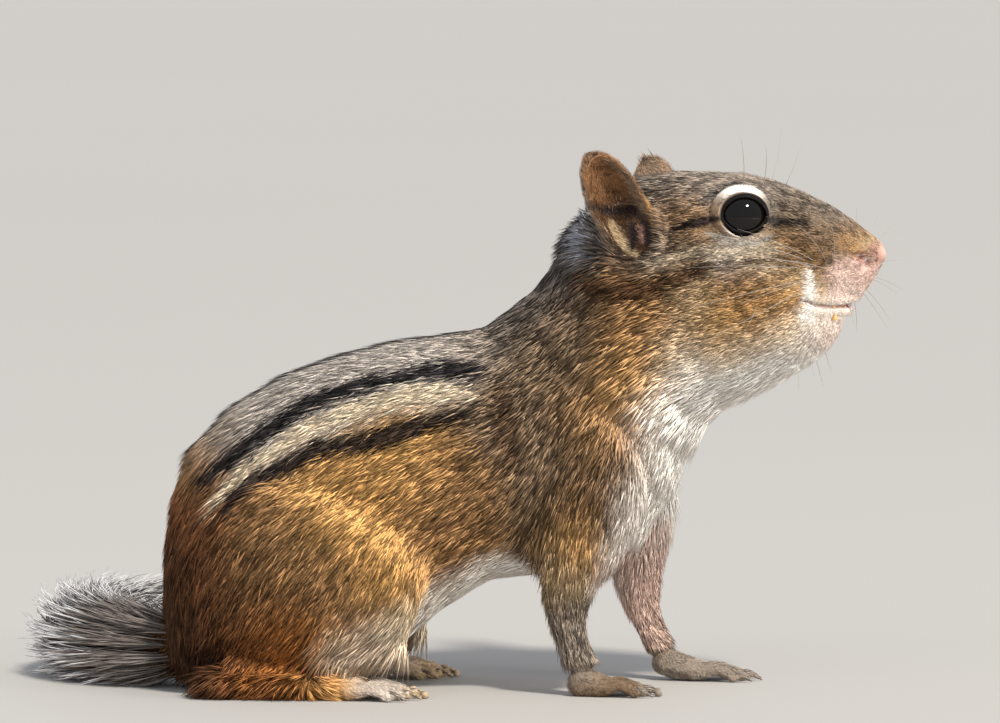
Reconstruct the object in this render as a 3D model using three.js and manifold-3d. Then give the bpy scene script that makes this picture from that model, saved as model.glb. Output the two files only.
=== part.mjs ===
// Eastern chipmunk sitting on its haunches with its forelegs straight and its head raised.
// Units are millimetres. +X is forward, +Y is the animal's left, +Z is up, and the floor is z = 0.
// The animal's right side faces -Y.
import * as THREE from "three";
import { mergeVertices } from "three/addons/utils/BufferGeometryUtils.js";
import Module from "manifold-3d";

const wasm = await Module();
wasm.setup();

// Driving dimensions
const GAP = 0.3;
const HEAD_YAW = THREE.MathUtils.degToRad(16);
const YAW_PIVOT_X = 13;
const TRUNK_EGG = 0.1;
const SNOUT_EGG = -0.3;
const EYE_RADIUS = 3.8;
const LID_THICKNESS = 0.7;
const EYE_OPENING = { long: 3.05, high: 2.6 };
const EYE_CENTRE = { x: 37.8, side: 7.6, z: 69.2 };
const EYE_LOOK = { forward: 0.36, up: 0.16 };
const EAR = { x: 20.3, side: 11.4, z: 70.7, long: 4.6, high: 8.4, deep: 3.3, wall: 0.9 };
const EAR_SLANT = 0.4;
const EAR_LOBE = { radii: [1, 0.9, 1.8], place: [3.3, 0.6, -4.6] };
const EAR_TURN_FORWARD = THREE.MathUtils.degToRad(22);
const EAR_LEAN_OUT = THREE.MathUtils.degToRad(14);
const LEFT_EAR_LEAN_OUT = THREE.MathUtils.degToRad(26);
const LEFT_EAR_LOWER = 1.3;
const MOUTH = { front: [53, 56.3], middle: [50.3, 56], corner: [47.4, 57.2], half: 0.22 };
const LIPS = { upperRise: 0.85, upperRadius: 0.75, lowerRise: -0.75, lowerRadius: 0.6 };
const INCISORS = { x: 50, side: 3, apart: 0.6, top: 56.5, bottom: 54.5, thick: 0.32, wide: 0.42 };
const NOSE_PAD = { x: 56.2, z: 63.6, long: 1.4, wide: 2.2, high: 1.8 };
const NOSTRIL = { x: 55.5, side: 3.6, z: 62.3, long: 1, deep: 0.9, high: 0.65 };
const NOSTRIL_SLIT = { x: 54.5, side: 4.4, z: 63.2, long: 1, deep: 0.9, high: 0.35 };
const NOSTRIL_TILT = 0.55;
const WHISKER_PAD = { x: 49.8, side: 5.8, z: 61.2, long: 2.8, deep: 1.5, high: 2.3 };
const WHISKER_PAD_TURN = THREE.MathUtils.degToRad(33);
const WHISKERS = { columns: 3, rows: 3, apartAlong: 1.7, apartUp: 1.3, root: 0.3, tip: 0.12 };
const WHISKER_LENGTH = { front: 11, rear: 21.4 };
const WHISKER_RISE = { front: 0.75, rear: 0.4 };
const WHISKER_FAN = { ahead: 0.04, spread: 0.66 };
const WHISKER_BEND = new THREE.Vector3(-0.125, 0, -0.06);
const LEFT_HINDFOOT_ADVANCE = 4.4;
const LEFT_HINDLEG_ADVANCE = 2.5;
const TAIL = { fullRadius: 7.9, rootRadius: 5.6, tipRadius: 3.6, coreShare: 0.46, axisHeight: 5.7 };
const LOCKS = { rows: 8, perRow: 5, length: 15, halfWidth: 3.6, halfThickness: 0.42, seed: 21 };
const LOCK_RINGS = [
  { along: 0, out: 0, wide: 0.6, thick: 1 },
  { along: 0.35, out: 0.5, wide: 1, thick: 1 },
  { along: 0.78, out: 0.9, wide: 0.62, thick: 0.8 },
];

// Facets
const TRUNK_SIDES = 28;
const TRUNK_RINGS_PER_STATION = 1;
const LIMB_SIDES = 12;
const TOE_SIDES = 6;
const CLAW_SIDES = 4;
const CAP_RINGS = 2;
const SMALL_CAP_RINGS = 1;

// The stations of torso, neck and head along the spine: the back line, the belly line and the half width.
// The head's stations are given before the head turns.
const STATIONS = [
  { name: "tail root", back: [-49.0, 9.5], belly: [-47.2, 1.6], half: 4.5 },
  { name: "rump low", back: [-49.4, 14.9], belly: [-43.5, 1.0], half: 10.5 },
  { name: "rump", back: [-49.0, 22.2], belly: [-38.9, 1.0], half: 14.5 },
  { name: "rump high", back: [-47.7, 29.1], belly: [-34.1, 1.0], half: 16.6 },
  { name: "croup", back: [-44.9, 36.0], belly: [-29.0, 1.3], half: 17.6 },
  { name: "loin", back: [-38.4, 42.2], belly: [-23.5, 2.6], half: 18.4 },
  { name: "flank", back: [-30.4, 46.7], belly: [-18.1, 4.8], half: 18.7 },
  { name: "mid back", back: [-22.5, 49.4], belly: [-12.8, 7.8], half: 18.6 },
  { name: "ribs", back: [-14.5, 51.3], belly: [-6.5, 12.2], half: 18.2 },
  { name: "chest rear", back: [-7.2, 52.3], belly: [-0.3, 15.4], half: 17.6 },
  { name: "chest", back: [-1.7, 53.5], belly: [6.5, 16.1], half: 16.8 },
  { name: "shoulders", back: [2.3, 56.7], belly: [14.5, 16.6], half: 16.0 },
  { name: "neck root", back: [5.5, 59.6], belly: [21.8, 21.9], half: 15.4 },
  { name: "neck low", back: [7.7, 63.2], belly: [26.2, 29.6], half: 14.9 },
  { name: "neck", back: [9.5, 66.7], belly: [28.8, 35.8], half: 14.4 },
  { name: "neck high", back: [13.0, 70.3], belly: [31.8, 39.9], half: 14.1 },
  { name: "skull base", back: [17.9, 73.5], belly: [35.4, 42.2], half: 14.0 },
  { name: "nape", back: [22.1, 75.3], belly: [38.7, 43.8], half: 14.2 },
  { name: "crown", back: [27.4, 76.0], belly: [42.0, 45.7], half: 14.0 },
  { name: "eye", back: [31.9, 75.9], belly: [44.7, 47.3], half: 13.4 },
  { name: "brow", back: [36.4, 75.5], belly: [47.0, 48.7], half: 12.4 },
  { name: "forehead", back: [41.0, 74.1], belly: [49.0, 50.3], half: 10.9 },
  { name: "cheek front", back: [45.2, 72.4], belly: [50.3, 52.2], half: 9.0 },
  { name: "muzzle", back: [49.0, 70.8], belly: [51.1, 54.5], half: 7.2 },
  { name: "lip", back: [52.0, 68.9], belly: [52.3, 56.3], half: 5.8 },
  { name: "snout", back: [54.4, 67.1], belly: [53.9, 57.6], half: 4.5 },
  { name: "nose root", back: [56.0, 66.0], belly: [55.1, 59.2], half: 3.3 },
  { name: "nose", back: [56.9, 65.0], belly: [56.2, 61.0], half: 2.1 },
];
const TURN_STARTS_AT = stationNumber("shoulders");
const TURN_ENDS_AT = stationNumber("skull base");
const NECK_STARTS_AT = stationNumber("neck low");
const HEAD_STARTS_AT = stationNumber("skull base");
const EGG_TURNS_AT = stationNumber("eye");
const LAST_STATION = STATIONS.length - 1;

// Each row of a limb: x, distance from the middle plane, z, half thickness sideways and lengthways
const THIGH = [
  [-45, 9.5, 15, 3.4, 8],
  [-41, 11.2, 15.8, 6.2, 12.4],
  [-34, 12.6, 17.6, 8.2, 15.4],
  [-26, 13.2, 18, 8.6, 15.4],
  [-19, 14, 16.6, 7.6, 12.4],
  [-13.8, 14.6, 14.6, 5.6, 8.2],
];
const SHANK = [
  [-15.5, 14.6, 10, 4, 4.4],
  [-26, 14.6, 6, 3.8, 3.8],
  [-38, 14, 4.3, 3.1, 3.2],
];
const RIGHT_FORELEG = [
  [14, 12.2, 38, 5, 5.8],
  [14.4, 13, 32, 5.6, 7.4],
  [13.3, 13.2, 25.5, 5.2, 7.2],
  [10.2, 12.7, 18.2, 4.3, 5.6],
  [9.6, 12.1, 12, 3.4, 4],
  [10.9, 11.6, 7.6, 2.7, 2.9],
  [11.8, 11.3, 4.9, 2.6, 2.7],
];
const LEFT_FORELEG = [
  [19, 11.6, 38, 4.6, 5],
  [19.8, 12.4, 32, 5.4, 6.4],
  [20.3, 12.4, 25.5, 5, 6.4],
  [20, 11.9, 18.2, 4.2, 4.9],
  [20.4, 11.5, 12.4, 3.5, 4],
  [21.9, 11.2, 8.6, 2.8, 3],
  [23.4, 11, 5.7, 2.5, 2.6],
];

// Each row of a foot: x, distance from the middle plane, z, half height, half width
const HINDFOOT = [
  [-41, 13.6, 2, 2.1, 2.4],
  [-34, 14.2, 2, 2, 2.7],
  [-27, 14.8, 1.9, 2, 3.1],
  [-20.5, 15.4, 1.8, 1.9, 3.8],
];
const HINDTOES = { count: 5, from: [-19.5, 15.4], spread: 0.26, gap: 1.75, length: 7, radius: 0.95 };
const RIGHT_FOREPAW = [
  [11.4, 11.3, 2.4, 2.2, 2.3],
  [13.6, 11.2, 1.9, 1.9, 2.8],
  [15.4, 11.1, 1.5, 1.5, 3],
];
const LEFT_FOREPAW = [
  [24, 11, 3.2, 2.1, 2.3],
  [27, 11, 2.1, 1.9, 2.8],
  [29.5, 11, 1.6, 1.5, 3],
];
const FORETOES = { count: 4, spread: 0.3, gap: 1.65, length: 5.2, radius: 0.85 };
const LEFT_FORETOE_LENGTH = 6.2;
const WRIST_PAD = { x: 22.3, side: 10.6, z: 4.6, long: 1.5, wide: 1.4, high: 1.3 };
const TOE_ARCH = 0.9;
const CLAW_LENGTH = 2;
const SOLE_FLAT = 0.3;

// The tail's middle line on the floor, from the rump round the animal's left side
const TAIL_LINE = [
  [-44, 0.5],
  [-52, 3.5],
  [-59.5, 12],
  [-61, 24],
  [-56, 36],
  [-45, 45],
  [-31, 49],
];
const TAIL_PARTS = ["tail_base", "tail_middle", "tail_tip"];

// Small helpers
function stationNumber(name) {
  return STATIONS.findIndex((station) => station.name === name);
}

function splineValue(values, t) {
  const last = values.length - 1;
  const i = Math.min(Math.floor(t), last - 1);
  const f = t - i;
  const before = values[Math.max(i - 1, 0)];
  const from = values[i];
  const to = values[i + 1];
  const after = values[Math.min(i + 2, last)];
  const slopeFrom = (to - before) / 2;
  const slopeTo = (after - from) / 2;
  const f2 = f * f;
  const f3 = f2 * f;
  const places = from * (2 * f3 - 3 * f2 + 1) + to * (3 * f2 - 2 * f3);
  const slopes = slopeFrom * (f3 - 2 * f2 + f) + slopeTo * (f3 - f2);
  return places + slopes;
}

function splineRow(rows, t) {
  return rows[0].map((_, column) => splineValue(rows.map((row) => row[column]), t));
}

function seededRandom(seed) {
  let state = seed;
  return () => {
    state = (state * 1664525 + 1013904223) % 4294967296;
    return state / 4294967296;
  };
}

function smoothStep(t) {
  const k = THREE.MathUtils.clamp(t, 0, 1);
  return k * k * (3 - 2 * k);
}

// Turns a point of the head or neck about the upright axis through the neck, nose towards the right side.
function turned(point, share = 1) {
  const angle = HEAD_YAW * share;
  const ahead = point.x - YAW_PIVOT_X;
  const x = YAW_PIVOT_X + ahead * Math.cos(angle) + point.y * Math.sin(angle);
  const y = -ahead * Math.sin(angle) + point.y * Math.cos(angle);
  return new THREE.Vector3(x, y, point.z);
}

// A closed surface through rings of equal count, with a point at each end
function closedLoft(rings, startPole, endPole) {
  const sides = rings[0].length;
  const points = [...rings.flat(), startPole, endPole];
  const start = points.length - 2;
  const end = points.length - 1;
  const index = [];
  for (let ring = 0; ring < rings.length - 1; ring += 1) {
    for (let side = 0; side < sides; side += 1) {
      const a = ring * sides + side;
      const b = ring * sides + ((side + 1) % sides);
      index.push(a, b, b + sides, a, b + sides, a + sides);
    }
  }
  const lastRing = (rings.length - 1) * sides;
  for (let side = 0; side < sides; side += 1) {
    const next = (side + 1) % sides;
    index.push(start, next, side);
    index.push(end, lastRing + side, lastRing + next);
  }
  const geometry = new THREE.BufferGeometry();
  geometry.setAttribute("position", new THREE.Float32BufferAttribute(points.flatMap((p) => p.toArray()), 3));
  geometry.setIndex(index);
  return facingOut(geometry);
}

function facingOut(geometry) {
  const p = geometry.attributes.position;
  const order = geometry.index.array;
  let volume = 0;
  const a = new THREE.Vector3();
  const b = new THREE.Vector3();
  const c = new THREE.Vector3();
  for (let i = 0; i < order.length; i += 3) {
    a.fromBufferAttribute(p, order[i]);
    b.fromBufferAttribute(p, order[i + 1]);
    c.fromBufferAttribute(p, order[i + 2]);
    volume += a.dot(b.cross(c));
  }
  if (volume < 0) {
    for (let i = 0; i < order.length; i += 3) {
      [order[i + 1], order[i + 2]] = [order[i + 2], order[i + 1]];
    }
  }
  return geometry;
}

function solid(geometry) {
  const bare = geometry.clone();
  bare.deleteAttribute("normal");
  bare.deleteAttribute("uv");
  const merged = mergeVertices(bare, 1e-5);
  const vertProperties = Float32Array.from(merged.attributes.position.array);
  const triVerts = Uint32Array.from(merged.index.array);
  return new wasm.Manifold(new wasm.Mesh({ numProp: 3, vertProperties, triVerts }));
}

function joined(solids) {
  return solids.reduce((whole, piece) => whole.add(piece));
}

function cutBy(body, cutters) {
  return cutters.reduce((rest, cutter) => rest.subtract(cutter), body);
}

function largestPiece(body) {
  return body.decompose().reduce((best, piece) => (piece.volume() > best.volume() ? piece : best));
}

function geometryOf(body) {
  const { vertProperties, triVerts } = largestPiece(body).getMesh();
  const geometry = new THREE.BufferGeometry();
  geometry.setAttribute("position", new THREE.Float32BufferAttribute(vertProperties, 3));
  geometry.setIndex(Array.from(triVerts));
  return geometry;
}

// A limb, toe or tail: elliptical rings square to a smooth line through the rows. The reference axis gives
// the direction of each row's fourth value, and the fifth lies across it.
function alongRows(rows, reference, { sides, rings, cap, grow = 0, capRings = CAP_RINGS }) {
  const last = rows.length - 1;
  const loft = [];
  const ringAt = (t, push, scale) => {
    const [x, y, z, first, second] = splineRow(rows, t);
    const step = 0.01;
    const ahead = new THREE.Vector3(...splineRow(rows, Math.min(t + step, last)).slice(0, 3));
    const behind = new THREE.Vector3(...splineRow(rows, Math.max(t - step, 0)).slice(0, 3));
    const tangent = ahead.sub(behind).normalize();
    const up = reference.clone().addScaledVector(tangent, -reference.dot(tangent)).normalize();
    const across = new THREE.Vector3().crossVectors(tangent, up);
    const centre = new THREE.Vector3(x, y, z).addScaledVector(tangent, push);
    const ring = [];
    for (let side = 0; side < sides; side += 1) {
      const angle = (2 * Math.PI * side) / sides;
      const point = centre.clone();
      point.addScaledVector(up, Math.cos(angle) * (first + grow) * scale);
      point.addScaledVector(across, Math.sin(angle) * (second + grow) * scale);
      ring.push(point);
    }
    return { ring, centre };
  };
  for (let i = 1; i <= capRings; i += 1) {
    const angle = (Math.PI / 2) * (i / (capRings + 1));
    loft.push(ringAt(0, -(cap[0] + grow) * Math.cos(angle), Math.sin(angle)).ring);
  }
  for (let i = 0; i <= rings; i += 1) {
    loft.push(ringAt((i / rings) * last, 0, 1).ring);
  }
  for (let i = capRings; i >= 1; i -= 1) {
    const angle = (Math.PI / 2) * (i / (capRings + 1));
    loft.push(ringAt(last, (cap[1] + grow) * Math.cos(angle), Math.sin(angle)).ring);
  }
  const startPole = ringAt(0, -(cap[0] + grow), 0).centre;
  const endPole = ringAt(last, cap[1] + grow, 0).centre;
  return solid(closedLoft(loft, startPole, endPole));
}

const SIDEWAYS = new THREE.Vector3(0, 1, 0);
const UPWARD = new THREE.Vector3(0, 0, 1);

function onSide(rows, side, advance = 0) {
  return rows.map(([x, y, ...rest]) => [x + advance, y * side, ...rest]);
}

// Feet sink a little below the floor before it cuts them, which leaves flats on their soles.
function pressedDown(rows) {
  return rows.map(([x, y, z, ...rest]) => [x, y, z - SOLE_FLAT, ...rest]);
}

function ellipsoid(centre, radii, turnZ = 0, tiltX = 0, tiltY = 0) {
  const geometry = new THREE.SphereGeometry(1, 10, 6);
  geometry.scale(...radii);
  geometry.rotateY(tiltY);
  geometry.rotateX(tiltX);
  geometry.rotateZ(turnZ);
  geometry.translate(...centre);
  return solid(geometry);
}

function floorBlock() {
  const size = 400;
  const geometry = new THREE.BoxGeometry(size, size, size);
  geometry.translate(0, 0, -size / 2);
  return solid(geometry);
}

// One ring of the trunk at a place along the spine, grown outwards and moved along the spine when asked.
function trunkRing(t, grow = 0, push = 0) {
  const station = splineRow(STATIONS.map((s) => [...s.back, ...s.belly, s.half]), t);
  const [backX, backZ, bellyX, bellyZ, half] = station;
  const centre = new THREE.Vector3((backX + bellyX) / 2, 0, (backZ + bellyZ) / 2);
  const rise = new THREE.Vector3((backX - bellyX) / 2, 0, (backZ - bellyZ) / 2);
  const reach = rise.length();
  const upward = rise.clone().normalize();
  const forward = new THREE.Vector3(upward.z, 0, -upward.x);
  centre.addScaledVector(forward, push);
  const share = smoothStep((t - TURN_STARTS_AT) / (TURN_ENDS_AT - TURN_STARTS_AT));
  const snout = smoothStep((t - EGG_TURNS_AT) / (LAST_STATION - 3 - EGG_TURNS_AT));
  const egg = THREE.MathUtils.lerp(TRUNK_EGG, SNOUT_EGG, snout);
  const ring = [];
  for (let side = 0; side < TRUNK_SIDES; side += 1) {
    const angle = (2 * Math.PI * side) / TRUNK_SIDES;
    const wide = (half + grow) * Math.sin(angle) * (1 - egg * Math.cos(angle));
    const point = centre.clone().addScaledVector(upward, (reach + grow) * Math.cos(angle));
    point.y += wide;
    ring.push(turned(point, share));
  }
  return { ring, centre: turned(centre, share) };
}

function trunkLength(from, to, { grow = 0, pushStart = 0, startCap = false, endCap = false } = {}) {
  const count = Math.round((to - from) * TRUNK_RINGS_PER_STATION);
  const rings = [];
  for (let i = 0; i <= count; i += 1) {
    rings.push(trunkRing(from + ((to - from) * i) / count, grow, i === 0 ? pushStart : 0).ring);
  }
  const rumpPole = 1.4;
  const nosePole = 0.5;
  const start = trunkRing(from, grow, startCap ? -rumpPole - grow : pushStart).centre;
  const end = trunkRing(to, grow, endCap ? nosePole + grow : 0).centre;
  return solid(closedLoft(rings, start, end));
}

// Points of the head are named before the head turns, on the left side; this places them on either side.
function onHead(x, distance, z, side) {
  return turned(new THREE.Vector3(x, distance * side, z)).toArray();
}

// The way an eye looks: outwards, a little forwards and a little up
function lookDirection(side) {
  return new THREE.Vector3(EYE_LOOK.forward, side, EYE_LOOK.up).normalize().applyAxisAngle(UPWARD, -HEAD_YAW);
}

function eyeCentre(side) {
  return onHead(EYE_CENTRE.x, EYE_CENTRE.side, EYE_CENTRE.z, side);
}

function ball(centre, radius) {
  const geometry = new THREE.SphereGeometry(radius, 16, 8);
  geometry.translate(...centre);
  return solid(geometry);
}

function eyeOpening(side) {
  const outline = new THREE.Shape();
  outline.absellipse(0, 0, EYE_OPENING.long, EYE_OPENING.high, 0, Math.PI * 2);
  const geometry = new THREE.ExtrudeGeometry(outline, { depth: 10, bevelEnabled: false, curveSegments: 8 });
  const look = lookDirection(side);
  const across = new THREE.Vector3().crossVectors(UPWARD, look).normalize();
  const up = new THREE.Vector3().crossVectors(look, across);
  geometry.applyMatrix4(new THREE.Matrix4().makeBasis(across, up, look).setPosition(...eyeCentre(side)));
  return solid(geometry);
}

function nostril(side) {
  const [opening, slit] = [NOSTRIL, NOSTRIL_SLIT].map(({ x, side: distance, z, long, deep, high }) =>
    ellipsoid(onHead(x, distance, z, side), [long, deep, high], 0, 0, NOSTRIL_TILT),
  );
  return opening.add(slit);
}

// The mouth is a thin slot between the jaws, rising to its corners.
function mouthSlot() {
  const curve = new THREE.QuadraticBezierCurve(
    new THREE.Vector2(...MOUTH.corner),
    new THREE.Vector2(...MOUTH.middle),
    new THREE.Vector2(...MOUTH.front),
  );
  const line = curve.getPoints(6);
  const outline = new THREE.Shape([
    ...line.map((p) => new THREE.Vector2(p.x, p.y + MOUTH.half)),
    ...line.reverse().map((p) => new THREE.Vector2(p.x, p.y - MOUTH.half)),
  ]);
  const width = 16;
  const geometry = new THREE.ExtrudeGeometry(outline, { depth: width, bevelEnabled: false });
  geometry.rotateX(Math.PI / 2);
  geometry.translate(-YAW_PIVOT_X, width / 2, 0);
  geometry.rotateZ(-HEAD_YAW);
  geometry.translate(YAW_PIVOT_X, 0, 0);
  return solid(geometry);
}

function lip(side, rise, radius) {
  const rows = [0, 0.33, 0.66, 1].map((t) => {
    const x = THREE.MathUtils.lerp(MOUTH.corner[0], MOUTH.front[0] - 1.1, t);
    const z = THREE.MathUtils.lerp(MOUTH.corner[1], MOUTH.front[1], smoothStep(t)) + rise;
    const distance = THREE.MathUtils.lerp(5.4, 1.2, t * t);
    return [...onHead(x, distance, z, side), radius, radius * 1.3];
  });
  return alongRows(rows, UPWARD, { sides: 5, rings: 3, cap: [0.5, 0.5], capRings: SMALL_CAP_RINGS });
}

// Two teeth that show between the lips on the right side, with a groove between them
function incisors(grow = 0) {
  const teeth = [INCISORS.side - INCISORS.apart / 2, INCISORS.side + INCISORS.apart / 2].map((distance) => {
    const rows = [
      [...onHead(INCISORS.x, distance, INCISORS.top, -1), INCISORS.thick, INCISORS.wide],
      [...onHead(INCISORS.x + 0.35, distance, INCISORS.bottom, -1), INCISORS.thick, INCISORS.wide],
    ];
    const shape = { sides: 6, rings: 1, cap: [0.3, 0.3], grow, capRings: SMALL_CAP_RINGS };
    return alongRows(rows, SIDEWAYS, shape);
  });
  return joined(teeth);
}

// One long whisker: columns count back from the front of the pad and rows count down from its top.
function whisker(side, row, column, grow) {
  const forward = 1 - (2 * column) / (WHISKERS.columns - 1);
  const up = 1 - (2 * row) / (WHISKERS.rows - 1);
  const onward = forward * WHISKERS.apartAlong * Math.cos(WHISKER_PAD_TURN);
  const inward = forward * WHISKERS.apartAlong * Math.sin(WHISKER_PAD_TURN);
  const rise = up * WHISKERS.apartUp;
  const distance = WHISKER_PAD.side - inward;
  const root = new THREE.Vector3(WHISKER_PAD.x + onward, distance * side, WHISKER_PAD.z + rise);
  const share = (1 + forward) / 2;
  const steepness = THREE.MathUtils.lerp(WHISKER_RISE.rear, WHISKER_RISE.front, share);
  const ahead = WHISKER_FAN.ahead + WHISKER_FAN.spread * forward;
  const way = new THREE.Vector3(ahead, side, steepness * up).normalize();
  const length = THREE.MathUtils.lerp(WHISKER_LENGTH.rear, WHISKER_LENGTH.front, share);
  const rows = [0, 0.5, 1].map((t) => {
    const point = root.clone().addScaledVector(way, length * t);
    point.addScaledVector(WHISKER_BEND, length * t * t);
    const radius = THREE.MathUtils.lerp(WHISKERS.root, WHISKERS.tip, t);
    return [...turned(point).toArray(), radius, radius];
  });
  return alongRows(rows, UPWARD, { sides: 3, rings: 2, cap: [0.2, 0.2], grow, capRings: 0 });
}

function whiskerSet(side, grow = 0) {
  const { x, side: distance, z, long, deep, high } = WHISKER_PAD;
  const radii = [long + grow, deep + grow, high + grow];
  const pieces = [ellipsoid(onHead(x, distance, z, side), radii, -HEAD_YAW - side * WHISKER_PAD_TURN)];
  for (let row = 0; row < WHISKERS.rows; row += 1) {
    for (let column = 0; column < WHISKERS.columns; column += 1) {
      pieces.push(whisker(side, row, column, grow));
    }
  }
  return joined(pieces);
}

function nosePad() {
  const { x, z, long, wide, high } = NOSE_PAD;
  return ellipsoid(onHead(x, 0, z, 1), [long, wide, high], -HEAD_YAW);
}

function headSolid() {
  const skull = trunkLength(HEAD_STARTS_AT, LAST_STATION, { pushStart: GAP, endCap: true });
  const extras = [nosePad()];
  const cuts = [mouthSlot(), incisors(GAP)];
  for (const side of [-1, 1]) {
    extras.push(ball(eyeCentre(side), EYE_RADIUS + GAP + LID_THICKNESS));
    extras.push(lip(side, LIPS.upperRise, LIPS.upperRadius));
    extras.push(lip(side, LIPS.lowerRise, LIPS.lowerRadius));
    cuts.push(ball(eyeCentre(side), EYE_RADIUS + GAP));
    cuts.push(eyeOpening(side));
    cuts.push(nostril(side));
    cuts.push(whiskerSet(side, GAP));
  }
  return cutBy(joined([skull, ...extras]), cuts);
}

function grownHead() {
  return trunkLength(NECK_STARTS_AT, LAST_STATION, { grow: GAP, endCap: true });
}

// One cup of an ear: a shell that slants back to its tip, open outwards, with a small lobe in front
function earSolid(side) {
  const height = side > 0 ? EAR.z - LEFT_EAR_LOWER : EAR.z;
  const leanOut = side > 0 ? LEFT_EAR_LEAN_OUT : EAR_LEAN_OUT;
  const place = new THREE.Matrix4().makeTranslation(...onHead(EAR.x, EAR.side, height, side));
  const turn = new THREE.Matrix4().makeRotationZ(-HEAD_YAW - side * EAR_TURN_FORWARD);
  const lean = new THREE.Matrix4().makeRotationX(-side * leanOut);
  const toHead = place.multiply(turn).multiply(lean);
  const cup = (radii, shift) => {
    const geometry = new THREE.SphereGeometry(1, 14, 10);
    geometry.rotateX(Math.PI / 2);
    geometry.scale(...radii);
    geometry.translate(shift[0], shift[1] * side, shift[2]);
    geometry.applyMatrix4(new THREE.Matrix4().makeShear(0, 0, 0, 0, -EAR_SLANT, 0));
    geometry.applyMatrix4(toHead);
    return solid(geometry);
  };
  const outer = cup([EAR.long, EAR.deep, EAR.high], [0, 0, 0]);
  const inner = cup([EAR.long - EAR.wall, EAR.deep, EAR.high - EAR.wall], [0.25, EAR.wall * 1.6, 0.3]);
  const lobe = cup(EAR_LOBE.radii, EAR_LOBE.place);
  return outer.subtract(inner).add(lobe);
}

// A toe lies on the floor with a slight arch and ends in a curved claw.
function toe(x, y, side, angle, length, radius, claw) {
  const at = (along, z) => [x + along * Math.cos(angle), y + along * Math.sin(angle), z];
  const rows = [
    [...at(-1.6, radius * 1.3), radius * 1.1, radius * 1.05],
    [...at(length * 0.4, radius * (1.15 + TOE_ARCH)), radius, radius * 0.95],
    [...at(length * 0.75, radius * (0.9 + TOE_ARCH / 2)), radius * 0.85, radius * 0.9],
    [...at(length * 0.92, radius * 0.7), radius * 0.85, radius * 0.9],
  ];
  const digitCap = [radius * 0.5, radius * 0.7];
  const digitShape = { sides: TOE_SIDES, rings: 3, cap: digitCap, capRings: SMALL_CAP_RINGS };
  const digit = alongRows(rows, UPWARD, digitShape);
  const clawRows = [
    [...at(length * 0.9, radius * 1.05), 0.48, 0.36],
    [...at(length + claw * 0.35, radius * 1.15), 0.42, 0.32],
    [...at(length + claw * 0.75, radius * 0.85), 0.3, 0.24],
    [...at(length + claw, radius * 0.4), 0.16, 0.14],
  ];
  const nailShape = { sides: CLAW_SIDES, rings: 2, cap: [0.2, 0.15], capRings: SMALL_CAP_RINGS };
  return digit.add(alongRows(clawRows, UPWARD, nailShape));
}

function toes(set, x, distance, side, length) {
  const row = [];
  const middle = (set.count - 1) / 2;
  for (let i = 0; i < set.count; i += 1) {
    const place = i - middle;
    const shorter = 1 - 0.07 * place * place;
    const y = (distance + place * set.gap) * side;
    const angle = side * place * set.spread * 0.5;
    const back = 0.5 * Math.abs(place);
    row.push(toe(x - back, y, side, angle, length * shorter, set.radius, CLAW_LENGTH));
  }
  return row;
}

function hindfoot(side, grow = 0) {
  const advance = side > 0 ? LEFT_HINDFOOT_ADVANCE : 0;
  const rows = pressedDown(onSide(HINDFOOT, side, advance));
  const sole = alongRows(rows, UPWARD, { sides: 10, rings: 4, cap: [2, 1.2], grow });
  if (grow > 0) {
    return sole;
  }
  const [x, distance] = HINDTOES.from;
  return joined([sole, ...toes(HINDTOES, x + advance, distance, side, HINDTOES.length)]);
}

function forepaw(side, grow = 0) {
  const rows = pressedDown(onSide(side > 0 ? LEFT_FOREPAW : RIGHT_FOREPAW, side));
  const palm = alongRows(rows, UPWARD, { sides: 10, rings: 3, cap: [1.6, 1], grow });
  if (grow > 0) {
    return palm;
  }
  const [x, y] = rows[rows.length - 1];
  const length = side > 0 ? LEFT_FORETOE_LENGTH : FORETOES.length;
  return joined([palm, ...toes(FORETOES, x + 0.8, Math.abs(y), side, length)]);
}

function hindleg(side, grow = 0) {
  const advance = side > 0 ? LEFT_HINDLEG_ADVANCE : 0;
  const thighRows = onSide(THIGH, side, advance);
  const shankRows = onSide(SHANK, side, advance);
  const thigh = alongRows(thighRows, SIDEWAYS, { sides: 18, rings: 7, cap: [3, 3.4], grow });
  const shank = alongRows(shankRows, SIDEWAYS, { sides: 12, rings: 4, cap: [2.5, 2.5], grow });
  return thigh.add(shank);
}

function foreleg(side, grow = 0) {
  const rows = onSide(side > 0 ? LEFT_FORELEG : RIGHT_FORELEG, side);
  const limb = alongRows(rows, SIDEWAYS, { sides: LIMB_SIDES, rings: 10, cap: [4, 1.6], grow });
  if (side < 0) {
    return limb;
  }
  const pad = WRIST_PAD;
  const padSolid = ellipsoid([pad.x, pad.side * side, pad.z], [pad.long, pad.wide, pad.high]);
  return grow > 0 ? limb : limb.add(padSolid);
}

// The tail's half breadth in its hair at a share of its length
function tailRadius(share) {
  const swell = Math.sin(Math.PI * Math.min(share * 0.95 + 0.05, 1));
  const ends = THREE.MathUtils.lerp(TAIL.rootRadius, TAIL.tipRadius, share);
  return THREE.MathUtils.lerp(ends, TAIL.fullRadius, swell);
}

function tailCore() {
  const rows = TAIL_LINE.map(([x, y], i) => {
    const radius = tailRadius(i / (TAIL_LINE.length - 1)) * TAIL.coreShare;
    return [x, y, TAIL.axisHeight, radius, radius];
  });
  return alongRows(rows, UPWARD, { sides: 8, rings: 12, cap: [2, 3] });
}

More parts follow.
